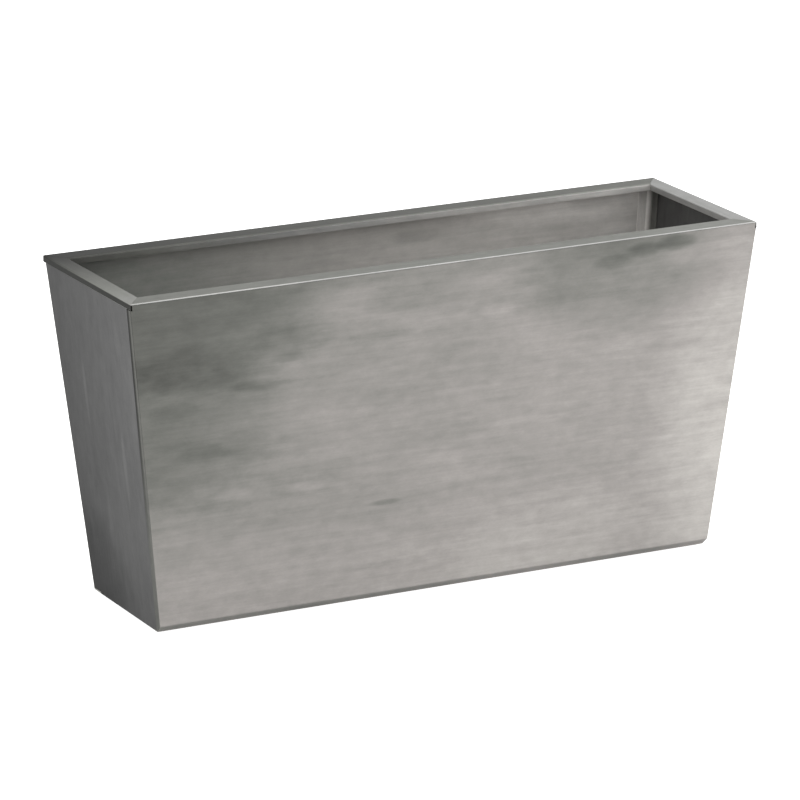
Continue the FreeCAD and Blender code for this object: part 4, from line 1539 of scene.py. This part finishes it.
def aimed(name: str, data: bpy.types.ID, place: Triple, direction: Vector) -> Object:
    """Adds a light or camera that looks one way.

    Args:
        name: Its name.
        data: The light or camera.
        place: Where it stands.
        direction: The way it looks.

    Returns:
        Its object.
    """
    made = linked(name, data)
    made.location = place
    made.rotation_mode = "QUATERNION"
    made.rotation_quaternion = direction.to_track_quat("-Z", "Y")
    return made


@dataclass(frozen=True)
class Softbox:
    """A square light: where it hangs, what it points at, its side and its power in watts."""

    name: str
    place: Triple
    target: Triple
    side: float
    power: float

    def build(self) -> None:
        """Hangs the softbox."""
        light = bpy.data.lights.new(self.name, "AREA")
        light.shape = "SQUARE"
        light.size = self.side
        light.energy = self.power
        aimed(self.name, light, self.place, Vector(self.target) - Vector(self.place))


@dataclass
class Studio:
    """The pale floor, the soft lights and the camera at the photo's angle."""

    azimuth: float = -27.29
    elevation: float = 16.31
    distance: float = 7.751
    target: Triple = (-0.0068, 0.0, 0.2583)
    focal_pixels: float = 5347.0
    image_pixels: float = 800.0
    sensor: float = 36.0
    furthest: float = 100.0
    floor_half: float = 30.0
    floor_glow: float = 0.95
    floor_clouds: float = 1.5
    floor_dark: Colour = (0.52, 0.52, 0.52)
    floor_pale: Colour = (0.56, 0.56, 0.56)
    floor_roughness: float = 0.9
    sky_strength: float = 1.3
    softboxes: tuple[Softbox, ...] = (
        Softbox("overhead_light", (0.5, -0.3, 3.2), (0.0, 0.0, 0.0), 3.2, 58.0),
        Softbox("right_light", (3.2, -1.6, 1.6), (0.2, 0.0, 0.2), 2.0, 32.0),
    )

    def build(self) -> None:
        """Builds the stage round the planter."""
        self.add_floor()
        self.add_camera()
        self.add_sky()
        for softbox in self.softboxes:
            softbox.build()

    def add_floor(self) -> None:
        """Lays the floor."""
        tree = FinishTree("pale_floor")
        cloud = tree.noise(self.floor_clouds, 2.0)
        material = tree.close(
            {
                "Base Color": tree.blend(cloud * 0.5 + 0.5, self.floor_dark, self.floor_pale),
                "Roughness": self.floor_roughness,
                "Emission Color": (1.0, 1.0, 1.0, 1.0),
                "Emission Strength": self.floor_glow,
            }
        )
        half = self.floor_half
        mesh = bpy.data.meshes.new("floor")
        corners = [(-half, -half, 0), (half, -half, 0), (half, half, 0), (-half, half, 0)]
        mesh.from_pydata(corners, [], [(0, 1, 2, 3)])
        floor = linked("floor", mesh)
        dress(floor, material)

    def add_camera(self) -> None:
        """Puts the camera where the photo was taken from."""
        across = math.radians(self.azimuth)
        up = math.radians(self.elevation)
        back = Vector((math.sin(across) * math.cos(up), -math.cos(across) * math.cos(up), math.sin(up)))
        place = Vector(self.target) + back * self.distance
        camera = aimed("camera", bpy.data.cameras.new("camera"), place, -back)
        camera.data.sensor_width = self.sensor
        camera.data.lens = self.sensor * self.focal_pixels / self.image_pixels
        camera.data.clip_end = self.furthest
        bpy.context.scene.camera = camera

    def add_sky(self) -> None:
        """Fills the room with an even pale light."""
        world = bpy.data.worlds.new("studio")
        world.use_nodes = True
        background = world.node_tree.nodes["Background"]
        background.inputs["Color"].default_value = (1.0, 1.0, 1.0, 1.0)
        background.inputs["Strength"].default_value = self.sky_strength
        bpy.context.scene.world = world
        bpy.context.scene.view_settings.view_transform = "Standard"


def main() -> None:
    """Builds the planter's sub-assemblies and the studio."""
    logging.basicConfig(level=logging.INFO, format="%(name)s: %(message)s")
    for part in (Studio(), Shell(), Rim(), Base(), Ties(), Drains(), Feet()):
        part.build()
        log.info("%s done", type(part).__name__)


if __name__ == "__main__":
    main()
